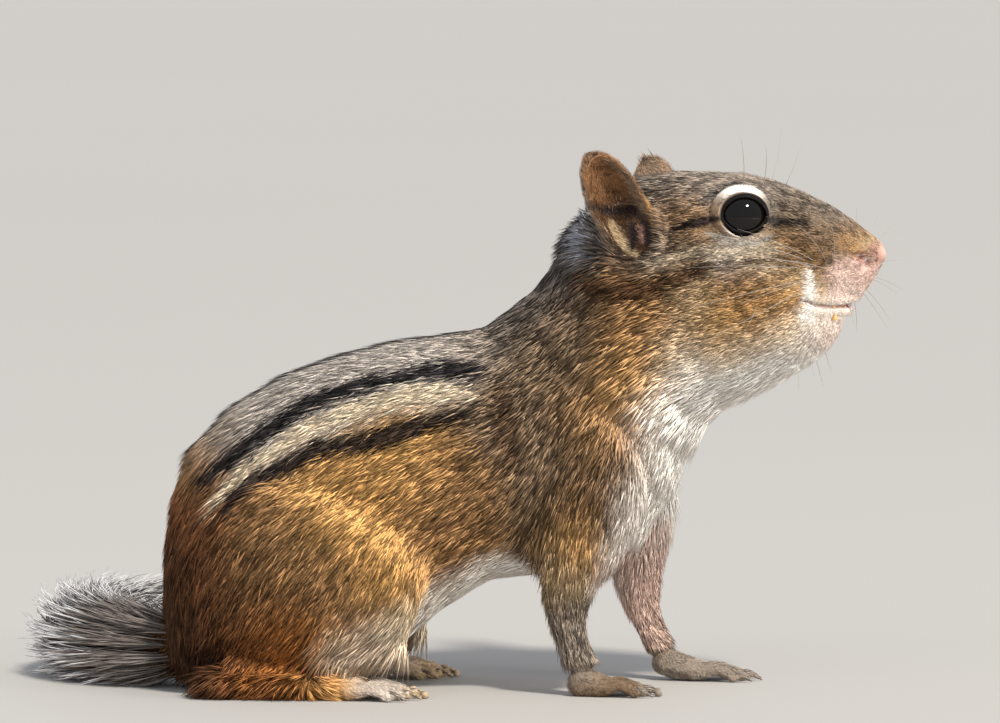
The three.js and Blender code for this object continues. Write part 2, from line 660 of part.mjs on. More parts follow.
// The tail's middle line, carried straight on past its end, with its heading there
function tailPlace(share) {
  const last = TAIL_LINE.length - 1;
  const t = THREE.MathUtils.clamp(share, 0, 1) * last;
  const ahead = splineRow(TAIL_LINE, Math.min(t + 0.02, last));
  const behind = splineRow(TAIL_LINE, Math.max(t - 0.02, 0));
  const heading = new THREE.Vector3(ahead[0] - behind[0], ahead[1] - behind[1], 0).normalize();
  const centre = new THREE.Vector3(...splineRow(TAIL_LINE, t), TAIL.axisHeight);
  centre.addScaledVector(heading, Math.max(share - 1, 0) * tailLength());
  return { centre, heading };
}

function tailLength() {
  let length = 0;
  for (let i = 1; i < TAIL_LINE.length; i += 1) {
    length += Math.hypot(TAIL_LINE[i][0] - TAIL_LINE[i - 1][0], TAIL_LINE[i][1] - TAIL_LINE[i - 1][1]);
  }
  return length;
}

// One flat lock: it leaves the core, bends along the tail and tapers to its tip in the outline of the hair.
function tailLock(share, angle, length, halfWidth) {
  const lowest = LOCKS.halfThickness;
  const at = ({ along, out }) => {
    const reached = share + (along * length) / tailLength();
    const { centre, heading } = tailPlace(reached);
    const across = new THREE.Vector3().crossVectors(heading, UPWARD);
    const away = across.clone().multiplyScalar(Math.cos(angle)).addScaledVector(UPWARD, Math.sin(angle));
    const inner = tailRadius(share) * TAIL.coreShare * 0.7;
    const outer = tailRadius(THREE.MathUtils.clamp(reached, 0, 1));
    const point = centre.addScaledVector(away, THREE.MathUtils.lerp(inner, outer, out));
    point.z = Math.max(point.z, lowest);
    return { point, away, sideways: new THREE.Vector3().crossVectors(heading, away) };
  };
  const rings = LOCK_RINGS.map((place) => {
    const { point, away, sideways } = at(place);
    const wide = halfWidth * place.wide;
    const thick = LOCKS.halfThickness * place.thick;
    return [
      point.clone().addScaledVector(sideways, wide),
      point.clone().addScaledVector(away, thick),
      point.clone().addScaledVector(sideways, -wide),
      point.clone().addScaledVector(away, -thick),
    ];
  });
  return solid(closedLoft(rings, at({ along: -0.08, out: -0.2 }).point, at({ along: 1, out: 1 }).point));
}

function tailWhole() {
  const random = seededRandom(LOCKS.seed);
  const pieces = [tailCore()];
  for (let row = 0; row < LOCKS.rows; row += 1) {
    for (let i = 0; i < LOCKS.perRow; i += 1) {
      const share = (row + 0.35 * random()) / LOCKS.rows;
      const angle = (2 * Math.PI * (i + (row % 2) / 2 + 0.3 * (random() - 0.5))) / LOCKS.perRow;
      const length = LOCKS.length * (0.85 + 0.3 * random());
      const halfWidth = LOCKS.halfWidth * (0.85 + 0.3 * random());
      pieces.push(tailLock(share, angle, length, halfWidth));
    }
  }
  return joined(pieces);
}

// The tail is parted square to its line at a share of its length.
function tailPart(whole, number) {
  const last = TAIL_LINE.length - 1;
  const size = 120;
  const slab = (share, keepAhead) => {
    const t = share * last;
    const [x, y] = splineRow(TAIL_LINE, t);
    const [aheadX, aheadY] = splineRow(TAIL_LINE, Math.min(t + 0.01, last));
    const heading = Math.atan2(aheadY - y, aheadX - x);
    const geometry = new THREE.BoxGeometry(size, size, size);
    geometry.translate((keepAhead ? -1 : 1) * (size / 2 - GAP / 2), 0, 0);
    geometry.rotateZ(heading);
    geometry.translate(x, y, 0);
    return solid(geometry);
  };
  const window = (from, to) => {
    const reach = 34;
    const [x, y] = splineRow(TAIL_LINE, ((from + to) / 2) * last);
    const geometry = new THREE.BoxGeometry(reach * 2, reach * 2, reach * 2);
    geometry.translate(x, y, 0);
    return solid(geometry);
  };
  const from = number / TAIL_PARTS.length;
  const to = (number + 1) / TAIL_PARTS.length;
  let part = whole.intersect(window(from, to));
  if (number > 0) {
    part = part.subtract(slab(from, true));
  }
  if (number < TAIL_PARTS.length - 1) {
    part = part.subtract(slab(to, false));
  }
  return part;
}

// Colours from the photograph
const FUR_BROWN = 0x8a6a4a;
const FUR_GREY = 0x857766;
const FUR_GOLD = 0xb98a55;
const SKIN_PINK = 0xb08878;
const TAIL_FROST = 0x8d857c;
const TOOTH_ORANGE = 0xc98a45;
const EYE_BLACK = 0x0b0908;
const WHISKER_GREY = 0x6f665c;

function fur(color) {
  return new THREE.MeshStandardMaterial({ color, roughness: 0.9, metalness: 0 });
}

function gloss(color) {
  return new THREE.MeshStandardMaterial({ color, roughness: 0.08, metalness: 0 });
}

const chipmunk = new THREE.Group();

function addNode(name, body, material) {
  const mesh = new THREE.Mesh(geometryOf(body), material);
  mesh.name = name;
  chipmunk.add(mesh);
}

const SIDES = [
  { side: 1, name: "left" },
  { side: -1, name: "right" },
];
const floor = floorBlock();
const grownLegs = SIDES.flatMap(({ side }) => [hindleg(side, GAP), foreleg(side, GAP)]);
const torso = trunkLength(0, NECK_STARTS_AT, { startCap: true });
const neck = trunkLength(NECK_STARTS_AT, HEAD_STARTS_AT, { pushStart: GAP });
const head = headSolid();
addNode("torso", cutBy(torso, grownLegs), fur(FUR_BROWN));
addNode("neck", cutBy(neck, grownLegs), fur(FUR_GREY));
addNode("head", head, fur(FUR_BROWN));
addNode("incisors", incisors(), gloss(TOOTH_ORANGE));
for (const { side, name } of SIDES) {
  addNode(`ear_${name}`, earSolid(side).subtract(grownHead()), fur(FUR_BROWN));
  addNode(`eye_${name}`, ball(eyeCentre(side), EYE_RADIUS), gloss(EYE_BLACK));
  addNode(`whiskers_${name}`, whiskerSet(side), gloss(WHISKER_GREY));
  addNode(`hindleg_${name}`, cutBy(hindleg(side), [hindfoot(side, GAP), floor]), fur(FUR_GOLD));
  addNode(`hindfoot_${name}`, hindfoot(side).subtract(floor), fur(FUR_GOLD));
  addNode(`foreleg_${name}`, cutBy(foreleg(side), [forepaw(side, GAP), floor]), fur(FUR_GREY));
  addNode(`forepaw_${name}`, forepaw(side).subtract(floor), fur(SKIN_PINK));
}
const tail = cutBy(tailWhole(), [trunkLength(0, NECK_STARTS_AT, { grow: GAP, startCap: true }), floor]);
TAIL_PARTS.forEach((name, number) => addNode(name, tailPart(tail, number), fur(TAIL_FROST)));

// The origin is under the middle of the whole animal's box, on the floor.
const box = new THREE.Box3().setFromObject(chipmunk);
const middle = box.getCenter(new THREE.Vector3());
chipmunk.position.set(-middle.x, -middle.y, 0);

export default chipmunk;
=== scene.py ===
"""An eastern chipmunk sitting on its haunches: skin, fur, eyes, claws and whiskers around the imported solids.

Shapes are worked out in millimetres in the animal's own frame: +X forward, +Y its left, +Z up, and the floor
at z = 0. The marks and the lie of the fur are drawn on a side view of the right side, in pixels of the
1000 x 723 photograph, and are mirrored to the left side.
"""
import math

import bmesh
import bpy
import numpy as np
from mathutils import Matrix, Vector


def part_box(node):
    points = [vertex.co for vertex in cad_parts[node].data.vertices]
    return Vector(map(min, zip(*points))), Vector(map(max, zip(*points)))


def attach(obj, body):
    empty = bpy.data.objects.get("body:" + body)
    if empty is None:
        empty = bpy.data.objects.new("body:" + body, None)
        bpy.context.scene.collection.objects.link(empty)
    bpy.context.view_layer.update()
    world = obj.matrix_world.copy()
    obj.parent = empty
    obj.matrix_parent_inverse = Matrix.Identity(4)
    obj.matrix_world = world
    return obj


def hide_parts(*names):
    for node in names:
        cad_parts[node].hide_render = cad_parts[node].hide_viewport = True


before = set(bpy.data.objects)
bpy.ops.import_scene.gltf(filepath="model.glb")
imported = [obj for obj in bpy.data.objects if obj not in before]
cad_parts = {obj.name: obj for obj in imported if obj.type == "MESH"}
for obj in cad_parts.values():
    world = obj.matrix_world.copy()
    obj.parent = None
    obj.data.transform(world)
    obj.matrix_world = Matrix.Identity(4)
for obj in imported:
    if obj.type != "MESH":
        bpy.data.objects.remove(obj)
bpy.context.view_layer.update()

MM = 0.001
SEED = 5
UP = np.array((0.0, 0.0, 1.0))

# Places in the animal's own frame, mm
HEAD_YAW = math.radians(16)
YAW_PIVOT_X = 13.0
EYE_CENTRE = (37.8, 7.6, 69.2)
EYE_RADIUS = 3.8
EYE_OPENING = (3.05, 2.6)
EYE_LOOK = (0.36, 1.0, 0.16)
TURN_FROM = (8.4, 36.6)
TURN_TO = (26.6, 57.9)
TAIL_LINE = [(-44, 0.5), (-52, 3.5), (-59.5, 12), (-61, 24), (-56, 36), (-45, 45), (-31, 49)]
TAIL_AXIS_HEIGHT = 5.7
TAIL_FULL_RADIUS = 7.9
TAIL_ROOT_RADIUS = 5.6
TAIL_TIP_RADIUS = 3.6
TAIL_CORE_SHARE = 0.4
WHISKER_PAD = (49.8, 5.8, 61.2)
WHISKER_PAD_SIZE = (2.8, 1.5, 2.3)
WHISKER_PAD_TURN = math.radians(33)
MOUTH = [(47.0, 57.4), (48.6, 56.7), (50.3, 56.3), (51.8, 56.3), (53.0, 56.6)]
NOSTRIL = (55.5, 3.1, 62.3)
NOSTRIL_TAIL = (54.4, 3.9, 63.4)
NOSTRIL_WING = (55.6, 3.3, 63.6)
EAR_MIDDLE = (19.9, 12.4, 71.5)
EAR_SIZE = (6.2, 4.2, 8.5)
EAR_SLANT = 0.4

# The photograph: 0.145 mm for one pixel at the middle plane
MM_PER_PIXEL = 0.145
PIXEL_X0 = 500.0
FLOOR_PIXEL_Y = 688.0
IMAGE_WIDTH = 1000
IMAGE_HEIGHT = 723
CAMERA_ELEVATION = math.radians(3.7)
CAMERA_DISTANCE = 1.2

# Fur colours, linear
WHITE = (1.0, 0.93, 0.85)
CREAM = (0.8, 0.66, 0.47)
BUFF = (0.5, 0.36, 0.21)
GOLD = (0.6, 0.34, 0.12)
TAN = (0.36, 0.2, 0.085)
RUST = (0.33, 0.125, 0.03)
CHESTNUT = (0.2, 0.08, 0.032)
DEEP_BROWN = (0.075, 0.035, 0.016)
BLACK = (0.017, 0.014, 0.016)
PALE_GREY = (0.58, 0.51, 0.44)
LIGHT_GREY = (0.42, 0.34, 0.27)
LIP_CREAM = (0.82, 0.64, 0.55)
GREY = (0.27, 0.22, 0.175)
DARK_GREY = (0.11, 0.095, 0.085)
GREY_BROWN = (0.2, 0.135, 0.082)
WARM_BROWN = (0.23, 0.13, 0.06)
EYE_CREAM = (0.4, 0.35, 0.29)
BROW_CREAM = (0.15, 0.13, 0.11)
# the inner thigh's cream fur, darkened as painted shade where the thigh's inner side lies in shadow
SHADED_THIGH_CREAM = (0.6, 0.47, 0.35)
PINK = (0.72, 0.52, 0.44)
NOSE_PINK = (0.42, 0.24, 0.19)
NOSTRIL_RED = (0.24, 0.03, 0.025)
EAR_GREY = (0.4, 0.4, 0.43)
OUTER_EAR = (0.3, 0.2, 0.13)
INNER_EAR_LOW = (0.05, 0.025, 0.014)
INNER_EAR_HIGH = (0.24, 0.12, 0.055)


# Vectors and places

def unit(v):
    return v / np.maximum(np.linalg.norm(v, axis=-1, keepdims=True), 1e-9)


def lengths(v):
    return np.linalg.norm(v, axis=-1)


def smooth_step(t):
    t = np.clip(t, 0.0, 1.0)
    return t * t * (3.0 - 2.0 * t)


def rise(values, start, width):
    """0 up to start and 1 from start + width on, with a smooth slope between."""
    return smooth_step((values - start) / width)


def fall(values, end, width):
    """1 up to end - width and 0 from end on, with a smooth slope between."""
    return smooth_step((end - values) / width)


def turned(points, share):
    """Turns points about the upright axis through the neck, nose towards the right side."""
    points = np.atleast_2d(np.asarray(points, float))
    angle = HEAD_YAW * share
    ahead = points[:, 0] - YAW_PIVOT_X
    x = YAW_PIVOT_X + ahead * np.cos(angle) + points[:, 1] * np.sin(angle)
    y = -ahead * np.sin(angle) + points[:, 1] * np.cos(angle)
    return np.stack([x, y, points[:, 2]], axis=1)


def on_head(x, distance, z, side):
    return turned((x, distance * side, z), 1.0)[0]


def turn_share(points):
    """How far the head's turn reaches at each point: 0 on the body and 1 on the head."""
    start = np.array(TURN_FROM)
    way = np.array(TURN_TO) - start
    place = (points[:, [0, 2]] - start) @ way / (way @ way)
    return smooth_step(place)


def straightened(points):
    """Points of the body with the head's turn taken out."""
    share = turn_share(points)
    flat = points.copy()
    for _ in range(2):
        angle = HEAD_YAW * share
        ahead = points[:, 0] - YAW_PIVOT_X
        flat[:, 0] = YAW_PIVOT_X + ahead * np.cos(angle) - points[:, 1] * np.sin(angle)
        flat[:, 1] = ahead * np.sin(angle) + points[:, 1] * np.cos(angle)
        share = turn_share(flat)
    return flat, share


def side_view(points):
    """Pixels of the photograph where each point, or its mirror image on the right side, would show."""
    flat, share = straightened(points)
    flat[:, 1] = -np.abs(flat[:, 1])
    seen = turned(flat, share)
    height = seen[:, 2] * math.cos(CAMERA_ELEVATION) + seen[:, 1] * math.sin(CAMERA_ELEVATION)
    return np.stack([PIXEL_X0 + seen[:, 0] / MM_PER_PIXEL, FLOOR_PIXEL_Y - height / MM_PER_PIXEL], axis=1)


right_eye_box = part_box("eye_right")
SHIFT = np.array((right_eye_box[0] + right_eye_box[1]) / 2) / MM - on_head(*EYE_CENTRE, -1)


def to_scene(points):
    return (np.asarray(points, float) + SHIFT) * MM


def from_scene(points):
    return np.asarray(points, float) / MM - SHIFT


def mirrored(flat):
    """Straightened points of the right side moved to the left, where the places of pairs are named."""
    return np.column_stack([flat[:, 0], np.abs(flat[:, 1]), flat[:, 2]])


def distance_from(flat, place):
    """Distance of straightened points from a named place or from its mirror image."""
    return lengths(mirrored(flat) - np.array(place))


# Meshes from arrays

def linked(name, data):
    """A new object of the scene that holds a mesh, a light or a camera."""
    piece = bpy.data.objects.new(name, data)
    bpy.context.scene.collection.objects.link(piece)
    return piece


def mesh_object(name, points, faces, smooth=True):
    mesh = bpy.data.meshes.new(name)
    mesh.from_pydata(to_scene(points).tolist(), [], [list(map(int, f)) for f in faces])
    mesh.update()
    if smooth:
        mesh.shade_smooth()
    return linked(name, mesh)


def triangle_object(name, points, triangles):
    """A mesh of many triangles, made straight from arrays in the animal's frame."""
    mesh = bpy.data.meshes.new(name)
    mesh.vertices.add(len(points))
    mesh.vertices.foreach_set("co", to_scene(points).astype(np.float32).ravel())
    mesh.loops.add(triangles.size)
    mesh.loops.foreach_set("vertex_index", triangles.astype(np.int32).ravel())
    mesh.polygons.add(len(triangles))
    mesh.polygons.foreach_set("loop_start", np.arange(0, triangles.size, 3, dtype=np.int32))
    mesh.update(calc_edges=True)
    mesh.shade_smooth()
    return linked(name, mesh)


def vertex_values(mesh, field):
    """The place ("co") or the "normal" of each corner of a mesh."""
    out = np.empty(len(mesh.vertices) * 3, np.float32)
    mesh.vertices.foreach_get(field, out)
    return out.reshape(-1, 3).astype(float)


def mesh_points(mesh):
    """The corners of a mesh in the animal's frame."""
    return from_scene(vertex_values(mesh, "co"))


def set_points(mesh, points):
    mesh.vertices.foreach_set("co", to_scene(points).astype(np.float32).ravel())
    mesh.update()


def set_colours(mesh, colours):
    attribute = mesh.color_attributes.new("coat", "FLOAT_COLOR", "POINT")
    rgba = np.ones((len(mesh.vertices), 4), np.float32)
    rgba[:, :3] = np.clip(colours, 0.0, 1.0)
    attribute.data.foreach_set("color", rgba.ravel())
    mesh.color_attributes.active_color = attribute


def tube(line, radii, sides):
    """Points and faces of a closed tapered tube along a line."""
    line = np.asarray(line, float)
    points = []
    for centre, way, radius in zip(line, unit(np.gradient(line, axis=0)), radii):
        across = np.cross(way, UP)
        if np.linalg.norm(across) < 1e-3:
            across = np.array((0.0, 1.0, 0.0))
        across = unit(across)
        up = np.cross(across, way)
        for i in range(sides):
            a = 2 * math.pi * i / sides
            points.append(centre + radius * (math.cos(a) * across + math.sin(a) * up))
    faces = []
    for r in range(len(line) - 1):
        for i in range(sides):
            j = (i + 1) % sides
            a, b = r * sides + i, r * sides + j
            faces.append((a, b, b + sides, a + sides))
    faces.append(tuple(reversed(range(sides))))
    faces.append(tuple(range((len(line) - 1) * sides, len(line) * sides)))
    return points, faces


def ball(rings, sides):
    """Points of a ball of radius 1, ring by ring from the pole at +Z to the other, and its faces."""
    points = [(0.0, 0.0, 1.0)]
    for r in range(1, rings):
        a = math.pi * r / rings
        for i in range(sides):
            b = 2 * math.pi * i / sides
            points.append((math.sin(a) * math.cos(b), math.sin(a) * math.sin(b), math.cos(a)))
    points.append((0.0, 0.0, -1.0))
    faces = []
    end = 1 + (rings - 2) * sides
    for i in range(sides):
        j = (i + 1) % sides
        faces.append((0, 1 + i, 1 + j))
        for r in range(rings - 2):
            a, b = 1 + r * sides + i, 1 + r * sides + j
            faces.append((a, a + sides, b + sides, b))
        faces.append((len(points) - 1, end + j, end + i))
    return np.array(points), faces


def joined_pieces(shapes):
    points, faces = [], []
    for new_points, new_faces in shapes:
        base = len(points)
        points.extend(new_points)
        faces.extend(tuple(base + i for i in face) for face in new_faces)
    return points, faces


# Skin

TRUNK_NODES = (
    "torso", "neck", "head", "ear_left", "ear_right", "hindleg_left", "hindleg_right",
    "foreleg_left", "foreleg_right",
)
PAW_NODES = ("hindfoot_left", "hindfoot_right", "forepaw_left", "forepaw_right")
TAIL_NODES = ("tail_base", "tail_middle", "tail_tip")
GROW_TO_JOIN = 0.26
PAW_GROW = 0.05
BODY_VOXEL = 0.55
PAW_VOXEL = 0.3
BODY_SMOOTHING = 6
PAW_SMOOTHING = 2
TRUNK_RELAX = 30
# How far the skin lies inside the solids
TRUNK_DEPTH = 1.15
FACE_DEPTH = 0.38
LOW_DEPTH = 0.4
EAR_DEPTH = 0.1
ROUGH_PAW_DEPTH = 0.75
# The x and z beyond which the faces of the head's front, and then those of the nose, are divided
FINER_FROM = ((31.0, 50.0), (51.5, 54.0))
# The front of the muzzle, where the face is sculpted, and how deep or high its features are
MUZZLE_FROM_X = 44
MOUTH_DEPTH = 0.75
UPPER_LIP, UPPER_LIP_FROM_MOUTH = 0.3, 0.95
LOWER_LIP, LOWER_LIP_FROM_MOUTH = 0.22, 0.85
CLEFT_DEPTH, CLEFT_FROM_X = 0.5, 52.5
NOSTRIL_DEPTH, NOSTRIL_TAIL_DEPTH, NOSTRIL_WING_HEIGHT = 1.3, 0.7, 0.35
NOSTRIL_TAIL_SHAPE = (1.2, 1.2, 0.6)


def node_shape(name, grow):
    """A node's corners, merged and moved outwards, in the animal's frame, with its faces."""
    work = linked("work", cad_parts[name].data.copy())
    work.modifiers.new("weld", "WELD").merge_threshold = 1e-6
    mesh = evaluated_mesh(work)
    points = from_scene(vertex_values(mesh, "co") + vertex_values(mesh, "normal") * grow * MM)
    bpy.data.objects.remove(work)
    return list(points), face_list(mesh)


def evaluated_mesh(piece):
    graph = bpy.context.evaluated_depsgraph_get()
    return bpy.data.meshes.new_from_object(piece.evaluated_get(graph))


def face_list(mesh):
    return [tuple(p.vertices) for p in mesh.polygons]


def tail_radius(share):
    swell = np.sin(np.pi * np.minimum(share * 0.95 + 0.05, 1.0))
    ends = TAIL_ROOT_RADIUS + (TAIL_TIP_RADIUS - TAIL_ROOT_RADIUS) * share
    return ends + (TAIL_FULL_RADIUS - ends) * swell


def spline(rows, t):
    """A smooth curve through rows at places t, counted in rows."""
    rows = np.asarray(rows, float)
    t = np.clip(np.asarray(t, float), 0.0, len(rows) - 1.0)
    i = np.minimum(t.astype(int), len(rows) - 2)
    f = (t - i)[:, None]
    before, here = rows[np.maximum(i - 1, 0)], rows[i]
    there, after = rows[i + 1], rows[np.minimum(i + 2, len(rows) - 1)]
    slope_here, slope_there = (there - before) / 2, (after - here) / 2
    f2, f3 = f * f, f * f * f
    return (here * (2 * f3 - 3 * f2 + 1) + slope_here * (f3 - 2 * f2 + f)
            + there * (3 * f2 - 2 * f3) + slope_there * (f3 - f2))


def tail_places(share):
    last = len(TAIL_LINE) - 1
    flat = spline(TAIL_LINE, np.clip(share, 0, 1) * last)
    ahead = spline(TAIL_LINE, np.clip(share + 0.01, 0, 1) * last)
    behind = spline(TAIL_LINE, np.clip(share - 0.01, 0, 1) * last)
    heading = unit(np.column_stack([ahead - behind, np.zeros(len(share))]))
    centre = np.column_stack([flat, np.full(len(share), TAIL_AXIS_HEIGHT)])
    centre += heading * (np.maximum(share - 1, 0) * tail_length())[:, None]
    return centre, heading


def tail_length():
    return float(np.sum(np.linalg.norm(np.diff(np.asarray(TAIL_LINE, float), axis=0), axis=1)))


def tail_core_shape():
    share = np.linspace(0.0, 1.0, 40)
    radii = tail_radius(share) * TAIL_CORE_SHARE
    radii[-4:] *= np.array((0.95, 0.85, 0.65, 0.3))
    return tube(tail_places(share)[0], radii, sides=16)


def remeshed(name, shapes, voxel, smoothing):
    """One closed skin around several shapes, evened out."""
    piece = mesh_object(name, *joined_pieces(shapes), smooth=False)
    remesh = piece.modifiers.new("remesh", "REMESH")
    remesh.mode = "VOXEL"
    remesh.voxel_size = voxel * MM
    relax = piece.modifiers.new("relax", "SMOOTH")
    relax.factor = 0.5
    relax.iterations = smoothing
    mesh = evaluated_mesh(piece)
    bpy.data.objects.remove(piece)
    return list(mesh_points(mesh)), face_list(mesh)


def skin_depth(points):
    """How far the skin lies inside the solids: deep under long fur, and shallow on ears, face and paws."""
    flat, _ = straightened(points)
    x, _, z = flat.T
    face = rise(x, 24, 22) * rise(z, 40, 8)
    low = fall(z, 9, 6) * (x > -5)
    depth = np.full(len(points), TRUNK_DEPTH)
    for aim, cover in ((FACE_DEPTH, face), (LOW_DEPTH, low), (EAR_DEPTH, ear_share(flat))):
        depth += (aim - depth) * cover
    return depth * (1 - tail_share(points))


def ear_share(flat):
    """1 on the cups of the ears and 0 elsewhere, from straightened points."""
    off = mirrored(flat) - np.array(EAR_MIDDLE)
    off[:, 0] += EAR_SLANT * off[:, 2]
    return fall(lengths(off / np.array(EAR_SIZE)), 1.25, 0.35)


def tail_share(points):
    """1 on the tail's core and 0 elsewhere."""
    centre, _ = tail_places(np.linspace(0.06, 1.0, 30))
    return fall(lengths(points[:, None] - centre).min(axis=1), 6.2, 2.0)


def paw_share(points):
    """1 where the body's rough paws lie inside the finer ones."""
    return fall(points[:, 2], 2.6, 1.0)


def whisker_pad_shape(side):
    """The swelling that carries the whiskers, as a closed ball drawn out along the muzzle."""
    places, faces = ball(8, 14)
    cos, sin = math.cos(WHISKER_PAD_TURN), math.sin(WHISKER_PAD_TURN)
    points = []
    for u, v, up in places * np.array(WHISKER_PAD_SIZE):
        x = WHISKER_PAD[0] + u * cos + v * sin
        distance = WHISKER_PAD[1] - u * sin + v * cos
        points.append(on_head(x, distance, WHISKER_PAD[2] + up, side))
    if side < 0:
        faces = [tuple(reversed(face)) for face in faces]
    return points, faces


def finer_face(piece):
    """Divides the faces of the head's front once and those of the nose twice."""
    for front, low in FINER_FROM:
        mesh = piece.data
        flat, share = straightened(mesh_points(mesh))
        chosen = (flat[:, 0] > front) & (flat[:, 2] > low) & (share > 0.9)
        work = bmesh.new()
        work.from_mesh(mesh)
        work.verts.ensure_lookup_table()
        edges = [e for e in work.edges if chosen[e.verts[0].index] and chosen[e.verts[1].index]]
        bmesh.ops.subdivide_edges(work, edges=edges, cuts=1, smooth=0.6, use_grid_fill=True)
        work.to_mesh(mesh)
        work.free()
        mesh.shade_smooth()


def bell(distance, reach):
    return np.exp(-(distance / reach) ** 2)


def line_distance(places, line):
    """Distance of flat places from a line of points, and the height above the line where it is nearest."""
    best = np.full(len(places), 1e9)
    above = np.zeros(len(places))
    line = np.asarray(line, float)
    for a, b in zip(line[:-1], line[1:]):
        way = b - a
        t = np.clip(((places - a) @ way) / (way @ way), 0, 1)
        gap = places - (a + t[:, None] * way)
        distance = lengths(gap)
        nearer = distance < best
        best = np.where(nearer, distance, best)
        above = np.where(nearer, gap[:, 1], above)
    return best, above


def sculpt_face(piece):
    """Presses the mouth, the cleft below the nose and the nostrils into the skin and raises the lips."""
    points = mesh_points(piece.data)
    normals = vertex_values(piece.data, "normal")
    flat, share = straightened(points)
    x, y, z = mirrored(flat).T
    from_mouth, above = line_distance(flat[:, [0, 2]], MOUTH)
    push = -MOUTH_DEPTH * bell(from_mouth, 0.3) * (normals[:, 2] < 0.8)
    push += (UPPER_LIP * bell(above - UPPER_LIP_FROM_MOUTH, 0.55)
             * bell(from_mouth - UPPER_LIP_FROM_MOUTH, 0.6))
    push += (LOWER_LIP * bell(above + LOWER_LIP_FROM_MOUTH, 0.45)
             * bell(from_mouth - LOWER_LIP_FROM_MOUTH, 0.5))
    cleft = bell(y, 0.32) * rise(z, 56.5, 1.0) * fall(z, 62.5, 1.0)
    push -= CLEFT_DEPTH * cleft * (x > CLEFT_FROM_X)
    slit = lengths((mirrored(flat) - np.array(NOSTRIL_TAIL)) / np.array(NOSTRIL_TAIL_SHAPE))
    pit = distance_from(flat, NOSTRIL)
    push -= NOSTRIL_DEPTH * bell(pit, 0.75) + NOSTRIL_TAIL_DEPTH * bell(slit, 0.75)
    push += NOSTRIL_WING_HEIGHT * bell(distance_from(flat, NOSTRIL_WING), 0.9)
    points += normals * (push * (share > 0.9) * (x > MUZZLE_FROM_X))[:, None]
    set_points(piece.data, points)


def relaxed(points, faces, rounds):
    """Evens out the creases between thigh, shoulder and trunk, and leaves the head, feet and tail alone."""
    points = np.asarray(points, float)
    flat, share = straightened(points)
    body = fall(flat[:, 0], 20.0, 6.0) * rise(flat[:, 2], 7.0, 5.0)
    weight = (body * (1 - tail_share(points)) * (1 - share) * 0.5)[:, None]
    edges = np.array([(face[i], face[i - 1]) for face in faces for i in range(len(face))])
    count = np.zeros((len(points), 1))
    np.add.at(count, edges[:, 0], 1)
    np.add.at(count, edges[:, 1], 1)
    for _ in range(rounds):
        total = np.zeros_like(points)
        for axis in range(3):
            total[:, axis] = np.bincount(edges[:, 0], points[edges[:, 1], axis], len(points))
            total[:, axis] += np.bincount(edges[:, 1], points[edges[:, 0], axis], len(points))
        points = points + (total / count - points) * weight
    return list(points)


def build_skin():
    """The skin as one piece, and the number of its corners that belong to the body."""
    shapes = [node_shape(name, GROW_TO_JOIN) for name in TRUNK_NODES]
    shapes += [whisker_pad_shape(side) for side in (-1, 1)]
    shapes += [node_shape(name, 0.0) for name in PAW_NODES]
    body, faces = remeshed("skin_body", shapes + [tail_core_shape()], BODY_VOXEL, BODY_SMOOTHING)
    paws = [remeshed(name + "_skin", [node_shape(name, PAW_GROW)], PAW_VOXEL, PAW_SMOOTHING)
            for name in PAW_NODES]
    piece = mesh_object("skin", relaxed(body, faces, TRUNK_RELAX), faces)
    points = mesh_points(piece.data)
    depth = skin_depth(points) + GROW_TO_JOIN
    near_paw = paw_share(points)
    depth = depth * (1 - near_paw) + ROUGH_PAW_DEPTH * near_paw
    points -= vertex_values(piece.data, "normal") * depth[:, None]
    set_points(piece.data, points)
    finer_face(piece)
    sculpt_face(piece)
    points = mesh_points(piece.data)
    body = (list(points), face_list(piece.data))
    bpy.data.objects.remove(piece)
    return mesh_object("skin", *joined_pieces([body] + paws)), len(points)


# Marks on the coat, in pixels of the side view

SPINE_LINE_WIDTHS = (1.3, 1.8)
SPINE_LINE_TO_X = 18
WHITE_BELLY_TO_Y = 14.5
